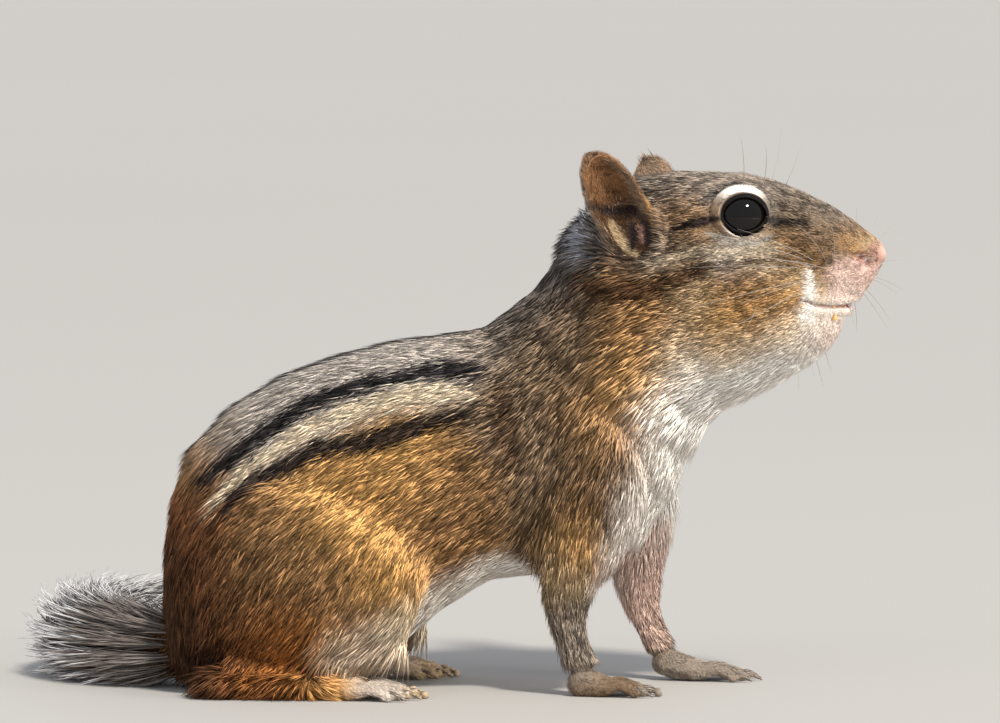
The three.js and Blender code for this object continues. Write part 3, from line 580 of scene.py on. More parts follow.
# Round spots of one colour: x, y and how far each reaches. Between spots the colours blend.
GUIDES = [
    # mid back and rump
    (PALE_GREY, [(440, 335, 26), (380, 350, 22), (320, 372, 24), (270, 400, 22), (300, 398, 14)]),
    (LIGHT_GREY, [(232, 425, 22)]),
    (TAN, [(205, 455, 20)]),
    (CHESTNUT, [(185, 490, 22), (225, 510, 22), (220, 570, 26)]),
    # the rump's dark brown, made darker low at the rear as painted shade
    (DEEP_BROWN, [(175, 550, 30), (175, 610, 30), (195, 660, 26)]),
    # haunch and flank
    (TAN, [
        (262, 520, 22), (300, 520, 20), (320, 565, 24), (350, 590, 18), (470, 465, 20), (440, 510, 24),
        (480, 500, 22), (450, 545, 20), (490, 535, 18),
    ]),
    (WARM_BROWN, [(265, 570, 28)]),
    (CHESTNUT, [(245, 620, 26)]),
    (RUST, [(285, 650, 26), (290, 610, 24), (320, 620, 16)]),
    # golden fur of the haunch, lighter along the haunch's front as a painted highlight
    (GOLD, [(340, 500, 24), (385, 480, 22), (390, 530, 22), (395, 570, 16), (430, 460, 22)]),
    # belly and inner thigh
    # painted shade: the inner thigh's cream spots are darker where the thigh lies in shadow
    (SHADED_THIGH_CREAM, [(385, 640, 22), (355, 655, 16)]),
    (CREAM, [(415, 612, 16), (465, 585, 12), (505, 573, 10), (345, 630, 10)]),
    # shoulder and neck
    (GREY, [(490, 335, 22)]),
    (DARK_GREY, [(530, 300, 22), (555, 262, 20)]),
    (GREY_BROWN, [
        (575, 320, 24), (545, 360, 24), (520, 420, 22), (560, 430, 24), (600, 350, 24), (550, 500, 24),
        (530, 560, 16),
    ]),
    (TAN, [(600, 410, 22), (650, 340, 24), (650, 305, 20), (640, 420, 9)]),
    (WARM_BROWN, [(620, 450, 16), (590, 490, 20)]),
    (GOLD, [(640, 365, 22), (575, 520, 18)]),
    (CREAM, [(690, 355, 18)]),
    # chest and throat
    (WHITE, [
        (672, 430, 22), (655, 480, 20), (632, 530, 16), (612, 575, 10), (720, 400, 24), (680, 405, 20),
        (780, 372, 20), (812, 325, 14), (745, 388, 16),
    ]),
    (LIP_CREAM, [(830, 335, 16)]),
    # head
    (LIGHT_GREY, [(700, 175, 22), (750, 174, 20)]),
    (GREY, [(790, 190, 18), (820, 203, 15), (850, 222, 9), (660, 195, 20), (655, 245, 14)]),
    (WARM_BROWN, [(660, 220, 14), (790, 245, 12), (815, 258, 9)]),
    (TAN, [(690, 215, 14), (848, 240, 9), (770, 300, 22), (745, 280, 16)]),
    (GREY_BROWN, [(690, 250, 16), (800, 218, 14), (822, 238, 13)]),
    (PALE_GREY, [(735, 262, 12)]),
    (CREAM, [(765, 262, 10), (785, 330, 12), (740, 350, 14)]),
    (BUFF, [(862, 236, 8), (700, 305, 16), (795, 280, 11)]),
    (GOLD, [(730, 325, 22), (790, 305, 14)]),
    (WHITE, [(700, 370, 12)]),
    (PINK, [(835, 270, 7), (850, 275, 8), (882, 250, 4), (862, 272, 6)]),
    (LIP_CREAM, [(845, 290, 8)]),
    (NOSE_PINK, [(873, 252, 5)]),
    # forelegs and paws
    (BUFF, [(560, 560, 18), (420, 686, 10)]),
    (GREY, [(568, 600, 16), (577, 640, 14), (590, 665, 10), (690, 668, 16)]),
    (GREY_BROWN, [(600, 680, 12), (660, 640, 12)]),
    (PINK, [(635, 560, 18), (645, 600, 16)]),
    (CHESTNUT, [(230, 686, 12), (280, 686, 12)]),
    (GOLD, [(330, 680, 14)]),
    (PALE_GREY, [(385, 680, 16)]),
    # tail
    (CHESTNUT, [(150, 655, 18)]),
    (DEEP_BROWN, [(110, 660, 18), (70, 650, 20)]),
]

# Each stroke: its colour, how soft and how strong it is, and its line with a half width at each point
STROKES = [
    ("upper dark stripe", BLACK, 4, 0.97, [
        (208, 474, 3), (220, 464, 6), (247, 446, 8), (274, 429, 8), (301, 413, 8), (328, 397, 8),
        (354, 388, 8), (381, 381, 7), (408, 375, 6), (435, 370, 7), (470, 367, 8), (498, 366, 4),
    ]),
    ("pale stripe", CREAM, 4, 1.0, [
        (222, 500, 2), (232, 489, 4), (247, 473, 5), (261, 461, 6), (274, 451, 6), (301, 435, 7),
        (328, 419, 8), (354, 410, 8), (381, 402, 8), (408, 395, 9), (435, 390, 10), (462, 388, 9),
        (488, 388, 5),
    ]),
    ("lower dark stripe", BLACK, 5, 0.94, [
        (240, 500, 4), (247, 491, 6), (261, 480, 7), (274, 470, 8), (301, 456, 9), (328, 444, 9),
        (354, 437, 9), (381, 433, 10), (408, 428, 10), (435, 419, 9), (462, 413, 7), (484, 410, 4),
    ]),
    # painted shade: a soft dark brown band behind the shoulder, where the foreleg meets the body
    ("painted shade behind the shoulder", DEEP_BROWN, 14, 0.6, [(505, 375, 8), (518, 410, 10), (522, 450, 10)]),
    ("brown cheek band", DEEP_BROWN, 7, 0.9, [
        (590, 272, 6), (625, 286, 9), (660, 286, 9), (690, 276, 6), (712, 268, 4),
    ]),
    ("brown streaks ahead", DEEP_BROWN, 8, 0.5, [(712, 268, 4), (760, 262, 5), (800, 262, 4), (835, 262, 3)]),
    ("pale cheek band", CREAM, 8, 0.4, [(655, 262, 4), (700, 252, 6), (740, 254, 6), (775, 250, 5)]),
    ("eye line behind", BLACK, 5, 0.92, [(716, 220, 3), (704, 222, 5), (690, 226, 5), (668, 234, 3)]),
    ("eye line ahead", BLACK, 5, 0.85, [(760, 220, 3), (772, 223, 5), (784, 224, 4), (806, 226, 3)]),
    ("pale arc above the eye", BROW_CREAM, 2.5, 1.0, [
        (706, 205, 1.5), (711, 199, 2.4), (724, 190, 2.6), (744, 188, 2.8), (762, 197, 3), (771, 211, 2.4),
    ]),
    ("pale arc below the eye", EYE_CREAM, 3.5, 0.95, [
        (706, 234, 1.5), (718, 240, 3), (736, 245, 3.4), (756, 244, 3.4), (770, 238, 2.6),
    ]),
    ("pale band behind the lips", WHITE, 6, 0.95, [(806, 272, 3), (808, 290, 6), (806, 315, 8)]),
    ("dark spots of the muzzle", DEEP_BROWN, 5, 0.4, [(852, 226, 3), (864, 236, 3)]),
    ("pale patch behind the ear", EAR_GREY, 6, 0.9, [(588, 218, 6), (586, 240, 8), (592, 256, 5)]),
]

EAR_STROKES = [
    ("golden front edge", GOLD, 4, 0.85, [(634, 170, 4), (645, 188, 6), (652, 206, 6), (654, 224, 4)]),
    # painted shade: a black line where the ear's fold creases
    ("painted shade in the fold", BLACK, 4, 0.9, [(592, 210, 3), (612, 214, 5), (634, 211, 5), (646, 226, 4), (648, 244, 3)]),
    ("pale lobe", BUFF, 3, 0.9, [(611, 226, 4), (618, 238, 5), (626, 250, 4), (636, 256, 3)]),
    # painted shade: black in the ear's slit, where the opening lies in shadow
    ("painted shade in the slit", BLACK, 3, 1.0, [(631, 226, 3), (633, 238, 3.5), (631, 250, 2.5)]),
    ("inner lobe", NOSE_PINK, 3, 0.6, [(640, 230, 2.5), (641, 242, 2.5)]),
]


def gap_squared(view, x, y):
    return (view[:, 0] - x) ** 2 + (view[:, 1] - y) ** 2


def guide_colour(view):
    """The colours of the spots, blended."""
    total, weights = np.zeros((len(view), 3)), np.zeros((len(view), 1))
    for colour, spots in GUIDES:
        for x, y, radius in spots:
            d2 = gap_squared(view, x, y)
            weight = (np.exp(-d2 / (2 * radius * radius)) + 1e-6 / (1 + d2))[:, None]
            total += weight * np.array(colour)
            weights += weight
    return total / weights


def marks(points, normals, jitter=None):
    """The coat's colour at points of the skin."""
    view = side_view(points)
    if jitter is not None:
        view = view + jitter
    flat, _ = straightened(points)
    x, y, z = mirrored(flat).T
    tail = tail_share(points)
    inward = fall(y, WHITE_BELLY_TO_Y, 3.0)
    under = rise(-normals[:, 2], 0.5, 0.35) * inward * (z > 3) * (1 - tail)
    colour = mixed(guide_colour(view), WHITE, under * rise(x, -40, 10) * 0.9)
    by_eye = near_eye(flat, normals)
    for name, shade, soft, strength, line in STROKES:
        cover = stroke_cover(view, line, soft) * strength
        if "the eye" in name:
            cover = cover * by_eye
        colour = mixed(colour, shade, cover)
    rear, front = SPINE_LINE_WIDTHS
    back_width = rear + (front - rear) * rise(x, -50, 30)
    on_back = rise(normals[:, 2], 0.3, 0.3) * (x < SPINE_LINE_TO_X) * (z > 30)
    colour = mixed(colour, BLACK, smooth_step(back_width - y + 0.5) * on_back * 0.9)
    colour = mixed(colour, BLACK, fall(eye_offset(flat), 1.13, 0.1))
    colour = mixed(colour, ear_colour(flat, normals, view), ear_share(flat))
    pit, slit = distance_from(flat, NOSTRIL), distance_from(flat, NOSTRIL_TAIL)
    colour = mixed(colour, NOSTRIL_RED, np.clip(bell(pit, 0.8) * 1.2 + bell(slit, 0.7), 0, 1))
    from_mouth, _ = line_distance(flat[:, [0, 2]], MOUTH)
    colour = mixed(colour, NOSTRIL_RED, 0.8 * bell(from_mouth, 0.28) * (x > 46))
    inner_leg = rise(-normals[:, 1] * np.sign(flat[:, 1]), 0.2, 0.5)
    colour = mixed(colour, PINK, inner_leg * (z < 26) * (x > 0) * (z > 5) * 0.6)
    return mixed(colour, DEEP_BROWN, tail * 0.6)


def near_eye(flat, normals):
    """1 on the skin round each eye that faces outwards and 0 elsewhere."""
    outwards = normals[:, 1] * np.sign(flat[:, 1])
    return fall(distance_from(flat, EYE_CENTRE), 7.4, 1.4) * rise(outwards, -0.1, 0.4)


def eye_axes(look):
    """Across and up over the opening of an eye that looks along look."""
    across = unit(np.cross(UP, look))
    return across, np.cross(look, across)


def eye_offset(flat):
    """Distance from the eye's middle across its opening, where 1 is the opening's edge."""
    gap = mirrored(flat) - np.array(EYE_CENTRE)
    look = unit(np.array(EYE_LOOK))
    across, up = eye_axes(look)
    off = np.hypot(gap @ across / (EYE_OPENING[0] + 0.25), gap @ up / (EYE_OPENING[1] + 0.25))
    return np.where(gap @ look > 0, off, 9.0)


def ear_colour(flat, normals, view):
    """The ear's colours: the fur of its back, and the darker cup with its folds and lobe."""
    inside = rise(normals[:, 1] * np.sign(flat[:, 1]) + normals[:, 0] * 0.4, 0.25, 0.4)
    inner = mixed(INNER_EAR_LOW, INNER_EAR_HIGH, rise(flat[:, 2], 66, 9))
    colour = mixed(OUTER_EAR, inner, inside)
    for _, shade, soft, strength, line in EAR_STROKES:
        cover = stroke_cover(view, line, soft) * strength
        colour = mixed(colour, shade, cover * (0.3 + 0.7 * inside))
    return colour


def mixed(colour, shade, cover):
    cover = np.asarray(cover)[:, None]
    return np.asarray(colour) * (1 - cover) + np.asarray(shade) * cover


def stroke_cover(view, line, soft):
    """1 on a stroke and 0 away from it."""
    line = np.array(line, float)
    best = np.zeros(len(view))
    for a, b in zip(line[:-1], line[1:]):
        way = b[:2] - a[:2]
        t = np.clip(((view - a[:2]) @ way) / (way @ way), 0, 1)
        distance = lengths(view - (a[:2] + t[:, None] * way))
        half = a[2] + (b[2] - a[2]) * t
        best = np.maximum(best, smooth_step((half - distance) / soft + 0.5))
    return best


# The lie of the fur: at each pixel of the side view, the way the tips point, x right and y down

LIE = [
    (878, 245, -1, -0.3), (850, 225, -1, -0.5), (800, 190, -1, -0.45), (750, 172, -1, -0.12),
    (700, 168, -1, 0.05), (650, 180, -1, 0.2), (850, 265, -1, 0.05), (850, 290, -1, 0.2),
    (800, 250, -1, -0.05), (800, 290, -1, 0.25), (760, 250, -1, 0.05), (760, 300, -1, 0.2),
    (700, 250, -1, 0.1), (700, 300, -1, 0.25), (700, 345, -1, 0.4), (820, 330, -1, 0.55), (770, 375, -1, 0.6),
    (720, 400, -0.8, 0.7), (650, 260, -1, 0.25), (640, 310, -1, 0.45), (640, 370, -0.8, 0.7),
    (600, 280, -0.9, 0.5), (590, 340, -0.7, 0.75), (560, 270, -0.6, 0.85), (540, 320, -0.8, 0.6),
    (520, 370, -0.8, 0.7), (550, 420, -0.5, 0.95), (600, 430, -0.4, 1), (600, 500, -0.25, 1),
    (560, 540, -0.1, 1), (568, 600, 0.05, 1), (580, 640, 0.15, 1), (600, 676, 1, 0.25), (650, 440, -0.3, 1),
    (650, 500, -0.1, 1), (640, 560, 0, 1), (648, 610, 0.15, 1), (665, 650, 0.7, 0.7), (710, 672, 1, 0.2),
    (690, 460, -0.4, 1), (480, 330, -1, 0.1), (430, 345, -1, 0.12), (380, 350, -1, 0.2), (330, 370, -1, 0.35),
    (280, 390, -0.95, 0.5), (235, 415, -0.8, 0.75), (200, 450, -0.5, 1), (175, 500, -0.2, 1),
    (168, 560, -0.1, 1), (165, 630, -0.35, 0.8), (480, 420, -1, 0.35), (420, 430, -1, 0.4),
    (350, 440, -0.95, 0.5), (280, 480, -0.9, 0.6), (480, 500, -0.9, 0.5), (420, 490, -0.9, 0.6),
    (360, 500, -0.85, 0.75), (300, 530, -0.75, 0.85), (240, 560, -0.55, 1), (220, 630, -0.5, 0.8),
    (300, 600, -0.6, 0.9), (300, 655, -0.6, 0.5), (360, 580, -0.6, 0.9), (400, 560, -0.5, 1),
    (380, 630, -0.7, 0.6), (450, 580, -0.9, 0.45), (510, 560, -0.8, 0.4), (400, 682, 1, 0.1),
    (330, 682, 1, 0.1), (605, 200, -0.15, -1), (590, 240, -0.5, -0.4), (635, 230, -0.3, -0.8),
]
LIE_BLEND = 500.0


def lie(points, normals):
    """The way the fur points at each place, along the skin."""
    view = side_view(points)
    total = np.zeros((len(points), 2))
    for x, y, dx, dy in LIE:
        weight = 1 / (gap_squared(view, x, y) + LIE_BLEND) ** 1.5
        total += np.array((dx, dy)) / math.hypot(dx, dy) * weight[:, None]
    total = unit(total)
    outwards = 0.12 * np.clip(straightened(points)[0][:, 1] / 8, -1, 1)
    way = np.column_stack([total[:, 0], outwards, -total[:, 1]])
    tail = tail_share(points)
    centre, heading = tail_places(np.linspace(0.0, 1.0, 30))
    nearest = lengths(points[:, None] - centre).argmin(axis=1)
    way = way * (1 - tail[:, None]) + heading[nearest] * tail[:, None]
    return unit(way - normals * np.sum(way * normals, axis=1, keepdims=True))


# Coat

TUFTS_PER_PIECE = 31000
CLUMP = (1.5, 0.7, 0.55)
PATCH = 0.0015
PATCH_CORNERS = np.array([(0, -1), (-1, 0), (0, 0), (1, 0), (0, 1)], float) * PATCH
FLOOR_GAP = 0.05
ROOT_DEPTH = 0.2
MIDDLE_SHARE = 0.42
SWING = 0.16
TIP_LIFT_SHARE = 0.45
# Lengths of the hair
TRUNK_HAIR, FACE_HAIR, SNOUT_HAIR, EYE_HAIR, LEG_HAIR, FOOT_HAIR, EAR_HAIR = 4.3, 2.0, 0.9, 0.8, 2.4, 0.6, 0.9


def spindle_faces(rings):
    """Triangles of one hair: a root, rings of three corners and a tip."""
    faces = [(0, 2, 1), (0, 3, 2), (0, 1, 3)]
    for ring in range(rings - 1):
        a = 1 + 3 * ring
        for i in range(3):
            j = (i + 1) % 3
            faces += [(a + i, a + j, a + 3 + j), (a + i, a + 3 + j, a + 3 + i)]
    last = 3 * rings - 2
    faces += [(last + i, last + (i + 1) % 3, last + 3) for i in range(3)]
    return np.array(faces)


def hair_piece(name, corners, rings, colours, uv):
    """A piece of many hairs, with a row of corners, colours and places on the unwrap for each hair."""
    count, each = corners.shape[:2]
    triangles = (spindle_faces(rings)[None] + each * np.arange(count)[:, None, None]).reshape(-1, 3)
    piece = triangle_object(name, corners.reshape(-1, 3), triangles)
    set_colours(piece.data, colours.reshape(-1, 3))
    layer = piece.data.uv_layers.new(name="OFBake")
    layer.data.foreach_set("uv", uv.reshape(-1, 2)[triangles.ravel()].astype(np.float32).ravel())
    return piece


def tufts(roots, normals, ways, length, width, lift, random):
    """Closed spindles of six triangles: a root under the skin, three corners near the middle, and a tip."""
    side = unit(np.cross(normals, ways))
    ways = unit(ways + side * random.normal(0.0, SWING, (len(roots), 1)))
    side = unit(np.cross(normals, ways))
    start_way, end_way = (unit(ways * np.cos(angle)[:, None] + normals * np.sin(angle)[:, None])
                          for angle in (lift, lift * TIP_LIFT_SHARE))
    length = length[:, None]
    width = width[:, None]
    root = roots - normals * ROOT_DEPTH
    middle = roots + start_way * length * MIDDLE_SHARE
    tip = middle + end_way * length * (1 - MIDDLE_SHARE)
    up = unit(np.cross(start_way, side))
    up *= np.sign(np.sum(up * normals, axis=1, keepdims=True))
    left = middle - side * width * 0.5
    crest = middle + up * width * 0.3
    right = middle + side * width * 0.5
    return np.stack([root, left, crest, right, tip], axis=1)


def skin_samples(skin):
    """The skin's triangles with their corners, normals and places on the unwrap."""
    mesh = skin.data
    mesh.calc_loop_triangles()
    count = len(mesh.loop_triangles) * 3
    corners, loops = np.empty(count, np.int32), np.empty(count, np.int32)
    mesh.loop_triangles.foreach_get("vertices", corners)
    mesh.loop_triangles.foreach_get("loops", loops)
    uv = np.empty(len(mesh.loops) * 2, np.float32)
    mesh.uv_layers["OFBake"].data.foreach_get("uv", uv)
    return {
        "points": mesh_points(mesh),
        "normals": vertex_values(mesh, "normal"),
        "corners": corners.reshape(-1, 3),
        "uv": uv.reshape(-1, 2)[loops].reshape(-1, 3, 2),
    }


def scattered(samples, density, random):
    """Roots drawn on the skin, so many to the square millimetre."""
    points = samples["points"][samples["corners"]]
    area = 0.5 * lengths(np.cross(points[:, 1] - points[:, 0], points[:, 2] - points[:, 0]))
    wanted = area * density(points.mean(axis=1))
    number = np.floor(wanted + random.random(len(wanted))).astype(int)
    chosen = np.repeat(np.arange(len(wanted)), number)
    a, b = random.random(len(chosen)), random.random(len(chosen))
    over = a + b > 1
    a[over], b[over] = 1 - a[over], 1 - b[over]
    weight = np.stack([1 - a - b, a, b], axis=1)[:, :, None]
    root = (samples["points"][samples["corners"][chosen]] * weight).sum(axis=1)
    normal = unit((samples["normals"][samples["corners"][chosen]] * weight).sum(axis=1))
    uv = (samples["uv"][chosen] * weight).sum(axis=1)
    return root, normal, uv


def coat_facts(points):
    """Length, width, lift and density of the fur at each place."""
    flat, share = straightened(points)
    x, y, z = mirrored(flat).T
    face = rise(x, 22, 12) * rise(z, 44, 6)
    snout = rise(x, 43, 8) * rise(z, 48, 4)
    eye = fall(eye_offset(flat), 2.3, 0.7)
    leg = fall(z, 22, 12) * (x > 0)
    foot = fall(z, 4.6, 1.2) * (y > 6) * rise(x, -28, 5)
    foot = np.maximum(foot, fall(z, 6.5, 2.0) * (x > 8))
    belly = fall(z, 16, 8) * (x < 10) * (x > -26)
    jaw = fall(z, 58, 8) * (share > 0.5)
    ear = ear_share(flat)
    length = np.full(len(points), TRUNK_HAIR)
    for aim, cover in ((FACE_HAIR, face), (SNOUT_HAIR, snout), (EYE_HAIR, eye), (LEG_HAIR, leg),
                       (FOOT_HAIR, foot), (EAR_HAIR, ear)):
        length = length + (aim - length) * cover
    length = length * (1 + 0.3 * belly + 0.35 * jaw)
    width = 0.04 + 0.045 * length
    lift = np.radians(12 + 7 * belly + 6 * jaw - 3 * snout + 10 * ear)
    density = 10 + 9 * face + 12 * snout + 12 * eye + 4 * leg + 12 * foot + 6 * ear
    density = np.minimum(density, 30) * (1 - tail_share(points))
    return length, width, lift, density


def bare(points):
    """Where there is no fur: the rim of the nose, the nostrils, the lids' edges and the soles."""
    flat, _ = straightened(points)
    x, _, z = flat.T
    nostril = distance_from(flat, NOSTRIL) < 0.8
    from_mouth, _ = line_distance(flat[:, [0, 2]], MOUTH)
    mouth = (from_mouth < 0.35) & (x > 46)
    tip = (x > 56.6) & (z < 65.5)
    return nostril | mouth | tip | (eye_offset(flat) < 1.12) | (points[:, 2] < 0.35)


def clump_draw(roots, random):
    """A draw from 0 to 1 for each tuft that neighbours partly share, in streaks that run lengthways."""
    table = random.random(4096)
    cells = np.floor(roots / np.array(CLUMP)).astype(int)
    shared = table[np.abs(cells @ np.array((73, 179, 283))) % len(table)]
    draw = 0.6 * shared + 0.4 * random.random(len(roots))
    return np.argsort(np.argsort(draw)) / len(draw)


def fur_colours(base, random, draw):
    """Root, middle and tip colours of agouti hair: some tufts dark, some pale, all darker at the root."""
    brightness = base.mean(axis=1)
    contrast = np.clip(1.15 - brightness * 1.35, 0.06, 1.0)
    tone = np.where(draw < 0.3, 0.3, np.where(draw < 0.6, 0.95, 1.6))
    tone = 1 + (tone - 1) * contrast
    tone = tone * (1 + random.normal(0, 0.08, len(base)))
    middle = base * tone[:, None]
    depth = 0.5 + 0.5 * rise(brightness, 0.4, 0.3)
    root = base * depth[:, None] * (0.5 + 0.5 * tone[:, None])
    tip_tone = 1 + contrast * np.where(random.random(len(base)) < 0.3, -0.55, 0.3)
    tip = middle * tip_tone[:, None]
    return np.stack([root, middle, middle, middle, tip], axis=1)


def build_coat(skin, body_count):
    """Tufts over the whole skin, in pieces from the back to the front."""
    random = np.random.default_rng(SEED)
    samples = skin_samples(skin)
    thin = 1.0
    inner_paw = samples["corners"][:, 0] < body_count

    def density(places):
        return coat_facts(places)[3] * thin * (1 - inner_paw * paw_share(places))

    roots, normals, uv = scattered(samples, density, random)
    keep = ~bare(roots)
    roots, normals, uv = roots[keep], normals[keep], uv[keep]
    count = len(roots)
    length, width, lift, _ = coat_facts(roots)
    length = length * random.uniform(0.75, 1.2, count)
    width = width * random.uniform(0.8, 1.25, count) / math.sqrt(thin)
    lift = lift * random.uniform(0.5, 1.5, count)
    corners = tufts(roots, normals, lie(roots, normals), length, width, lift, random)
    corners[:, :, 2] = np.maximum(corners[:, :, 2], FLOOR_GAP)
    jitter = random.normal(0, 1.0, (count, 2)) * (0.7 + 1.5 * rise(length, 0.8, 2.5)[:, None])
    draw = clump_draw(roots, random)
    colours = fur_colours(marks(roots, normals, jitter), random, draw)
    uv = uv[:, None] + PATCH_CORNERS
    order = np.argsort(straightened(roots)[0][:, 0], kind="stable")
    number = max(1, math.ceil(count / TUFTS_PER_PIECE))
    return [hair_piece(f"coat_{i + 1:02d}", corners[chosen], 1, colours[chosen], uv[chosen])
            for i, chosen in enumerate(np.array_split(order, number))]


# Tail hair

TAIL_HAIRS = 9000
CLUMPS_ALONG, CLUMPS_ROUND = 40, 13
SHORTEST, LONGEST = 10.0, 16.5
THINNEST, THICKEST = 0.1, 0.2
TAIL_FLOOR_GAP = 0.12
# Places along a hair of the tail: how far along it, how far out from the core, and how wide it is there
TAIL_HAIR_STEPS = [(0.0, 0.0, 0.7), (0.22, 0.36, 1.0), (0.5, 0.68, 0.85), (0.8, 0.9, 0.5), (1.0, 1.0, 0.0)]
TAIL_BANDS = np.array([(0.16, 0.09, 0.045), (0.16, 0.1, 0.055), (0.12, 0.1, 0.09), (0.4, 0.38, 0.36)])
TAIL_FROST = np.array((0.97, 0.95, 0.93))
TAIL_DARK = np.array((0.12, 0.08, 0.06))


def build_tail_hair():
    """Long hairs from the tail's core, in loose clumps, with dark bands and frosted tips."""
    random = np.random.default_rng(SEED + 1)
    count = TAIL_HAIRS
    full = 2 * math.pi
    share = random.random(count)
    clump = np.round(share * CLUMPS_ALONG) / CLUMPS_ALONG
    angle = random.random(count) * full
    clump_angle = np.round(angle / full * CLUMPS_ROUND) / CLUMPS_ROUND * full
    angle = angle + (clump_angle - angle) * 0.4
    share = share + (clump - share) * 0.3
    length = random.uniform(SHORTEST, LONGEST, count)
    reach = random.uniform(0.6, 1.1, count)
    bend = random.normal(0, 1.0, (count, 3)) * np.array((1.0, 1.0, 0.7))
    width = random.uniform(THINNEST, THICKEST, count)[:, None]
    inner = tail_radius(np.clip(share, 0, 1)) * TAIL_CORE_SHARE * 0.85
    corners = []
    for along, out, wide in TAIL_HAIR_STEPS:
        reached = share + along * length / tail_length()
        centre, heading = tail_places(reached)
        away = np.cross(heading, UP) * np.cos(angle)[:, None] + UP * np.sin(angle)[:, None]
        outer = tail_radius(np.clip(reached, 0, 1)) * reach
        point = centre + away * (inner + (outer - inner) * out)[:, None]
        point += bend * along * along * 1.1
        point[:, 2] = np.maximum(point[:, 2], TAIL_FLOOR_GAP)
        if along in (0.0, 1.0):
            corners.append(point)
            continue
        side, half = np.cross(heading, away), width * wide
        corners += [point - side * half, point + away * half * 0.6, point + side * half]
    corners = np.stack(corners, axis=1)
    corners[:, :, 2] = np.maximum(corners[:, :, 2], FLOOR_GAP)
    frosted = random.random(count) < 0.9 * rise(share, 0.08, 0.14)
    tip = np.where(frosted[:, None], TAIL_FROST, TAIL_DARK)
    colours = np.empty(corners.shape)
    colours[:, 0] = TAIL_BANDS[0]
    colours[:, 1:4] = TAIL_BANDS[1]
    colours[:, 4:7] = TAIL_BANDS[2]
    colours[:, 7:10] = TAIL_BANDS[3] + 0.6 * (tip - TAIL_BANDS[3])[:, None, :]
    colours[:, 10] = tip
    colours *= random.uniform(0.75, 1.25, (count, 1, 1))
    middle = np.column_stack([0.05 + 0.9 * share, 0.05 + 0.9 * (angle % full) / full])
    height = np.array([0, 1, 1, 1, 2, 2, 2, 3, 3, 3, 4]) / 4 * 2 * PATCH
    sidestep = np.array([0, -1, 0, 1, -1, 0, 1, -1, 0, 1, 0]) * PATCH
    uv = middle[:, None] + np.stack([sidestep, height], axis=1)
    return hair_piece("tail_hair", corners, 3, colours, uv)


# Eyes, claws, whiskers

RIM_ABOVE_EYE = 0.22
RIM_HALF_WIDTH = 0.24
RIM_HALF_HEIGHT = 0.18
# The feet: how the toes stand, and for each foot its x, its side and the length of its middle toe
HIND_TOES = {"count": 5, "distance": 15.4, "spread": 0.26, "gap": 1.75, "radius": 0.95}
FORE_TOES = {"count": 4, "distance": 11.1, "spread": 0.3, "gap": 1.65, "radius": 0.85}
HIND_FOOT_X = -19.5
LEFT_HIND_FOOT_AHEAD = 4.4
RIGHT_WRIST_X, LEFT_WRIST_X = 15.4, 29.5
FORE_TOES_AHEAD = 0.8
TOE_SETS = [
    (HIND_TOES, HIND_FOOT_X, -1, 7.0),
    (HIND_TOES, HIND_FOOT_X + LEFT_HIND_FOOT_AHEAD, 1, 7.0),
    (FORE_TOES, RIGHT_WRIST_X + FORE_TOES_AHEAD, -1, 5.2),
    (FORE_TOES, LEFT_WRIST_X + FORE_TOES_AHEAD, 1, 6.2),
]
CLAW_LENGTH = 2.3
CLAW_RADIUS = 0.4
CLAW_TIP_RADIUS = 0.04
CLAW_ROOT_SHARE = 0.86
WHISKER_COLUMNS, WHISKER_ROWS = 5, 4
PAD_REACH = (1.7, 1.3)
REAR_WHISKER, FRONT_WHISKER = 21.4, 11
WHISKER_RADIUS = 0.05
# Single whiskers above the eye, on the cheek and under the chin: place, length and direction
SINGLE_WHISKERS = [
    (38, 8.8, 73.4, 10, (0.2, 0.5, 0.9)), (40.5, 7.8, 73.2, 8, (0.35, 0.4, 0.9)),
    (41, 11.0, 58, 7, (0.1, 0.8, -0.5)), (46, 4.6, 51.6, 6, (0.4, 0.3, -0.8)),
    (44.5, 5.4, 50.8, 7, (0.3, 0.3, -0.8)),
]


def head_way(way):
    """A direction named before the head turns, turned with it."""
    return on_head(way[0] + YAW_PIVOT_X, way[1], way[2], 1) - np.array((YAW_PIVOT_X, 0.0, 0.0))


def eye_look(side):
    return head_way(unit(np.array((EYE_LOOK[0], EYE_LOOK[1] * side, EYE_LOOK[2]))))


def build_eye(side, name):
    look = eye_look(side)
    places, faces = ball(24, 40)
    points = on_head(*EYE_CENTRE, side) + places @ np.array((*eye_axes(look), look)) * EYE_RADIUS
    return mesh_object(name, points, faces)


def build_eye_rim(side, name):
    """The dark bare edge of the lids, pointed a little at both corners."""
    centre = on_head(*EYE_CENTRE, side)
    look = eye_look(side)
    across, up = eye_axes(look)
    count, sides = 64, 8
    line = []
    for i in range(count):
        a = 2 * math.pi * i / count
        corner = 1 + 0.07 * max(0.0, abs(math.cos(a)) - 0.8) / 0.2
        off = across * math.cos(a) * EYE_OPENING[0] * corner + up * math.sin(a) * EYE_OPENING[1]
        reach = math.sqrt(max((EYE_RADIUS + RIM_ABOVE_EYE) ** 2 - float(off @ off), 0.2))
        line.append(centre + off + look * reach)
    points, faces = [], []
    for i in range(count):
        outward = unit(line[i] - centre)
        flat_way = unit(np.cross(unit(line[(i + 1) % count] - line[i - 1]), outward))
        for k in range(sides):
            b = 2 * math.pi * k / sides
            off = RIM_HALF_WIDTH * math.cos(b) * flat_way + RIM_HALF_HEIGHT * math.sin(b) * outward
            points.append(line[i] + off)
            here, there = i * sides, (i + 1) % count * sides
            j = (k + 1) % sides
            faces.append((here + k, here + j, there + j, there + k))
    return mesh_object(name, points, faces)


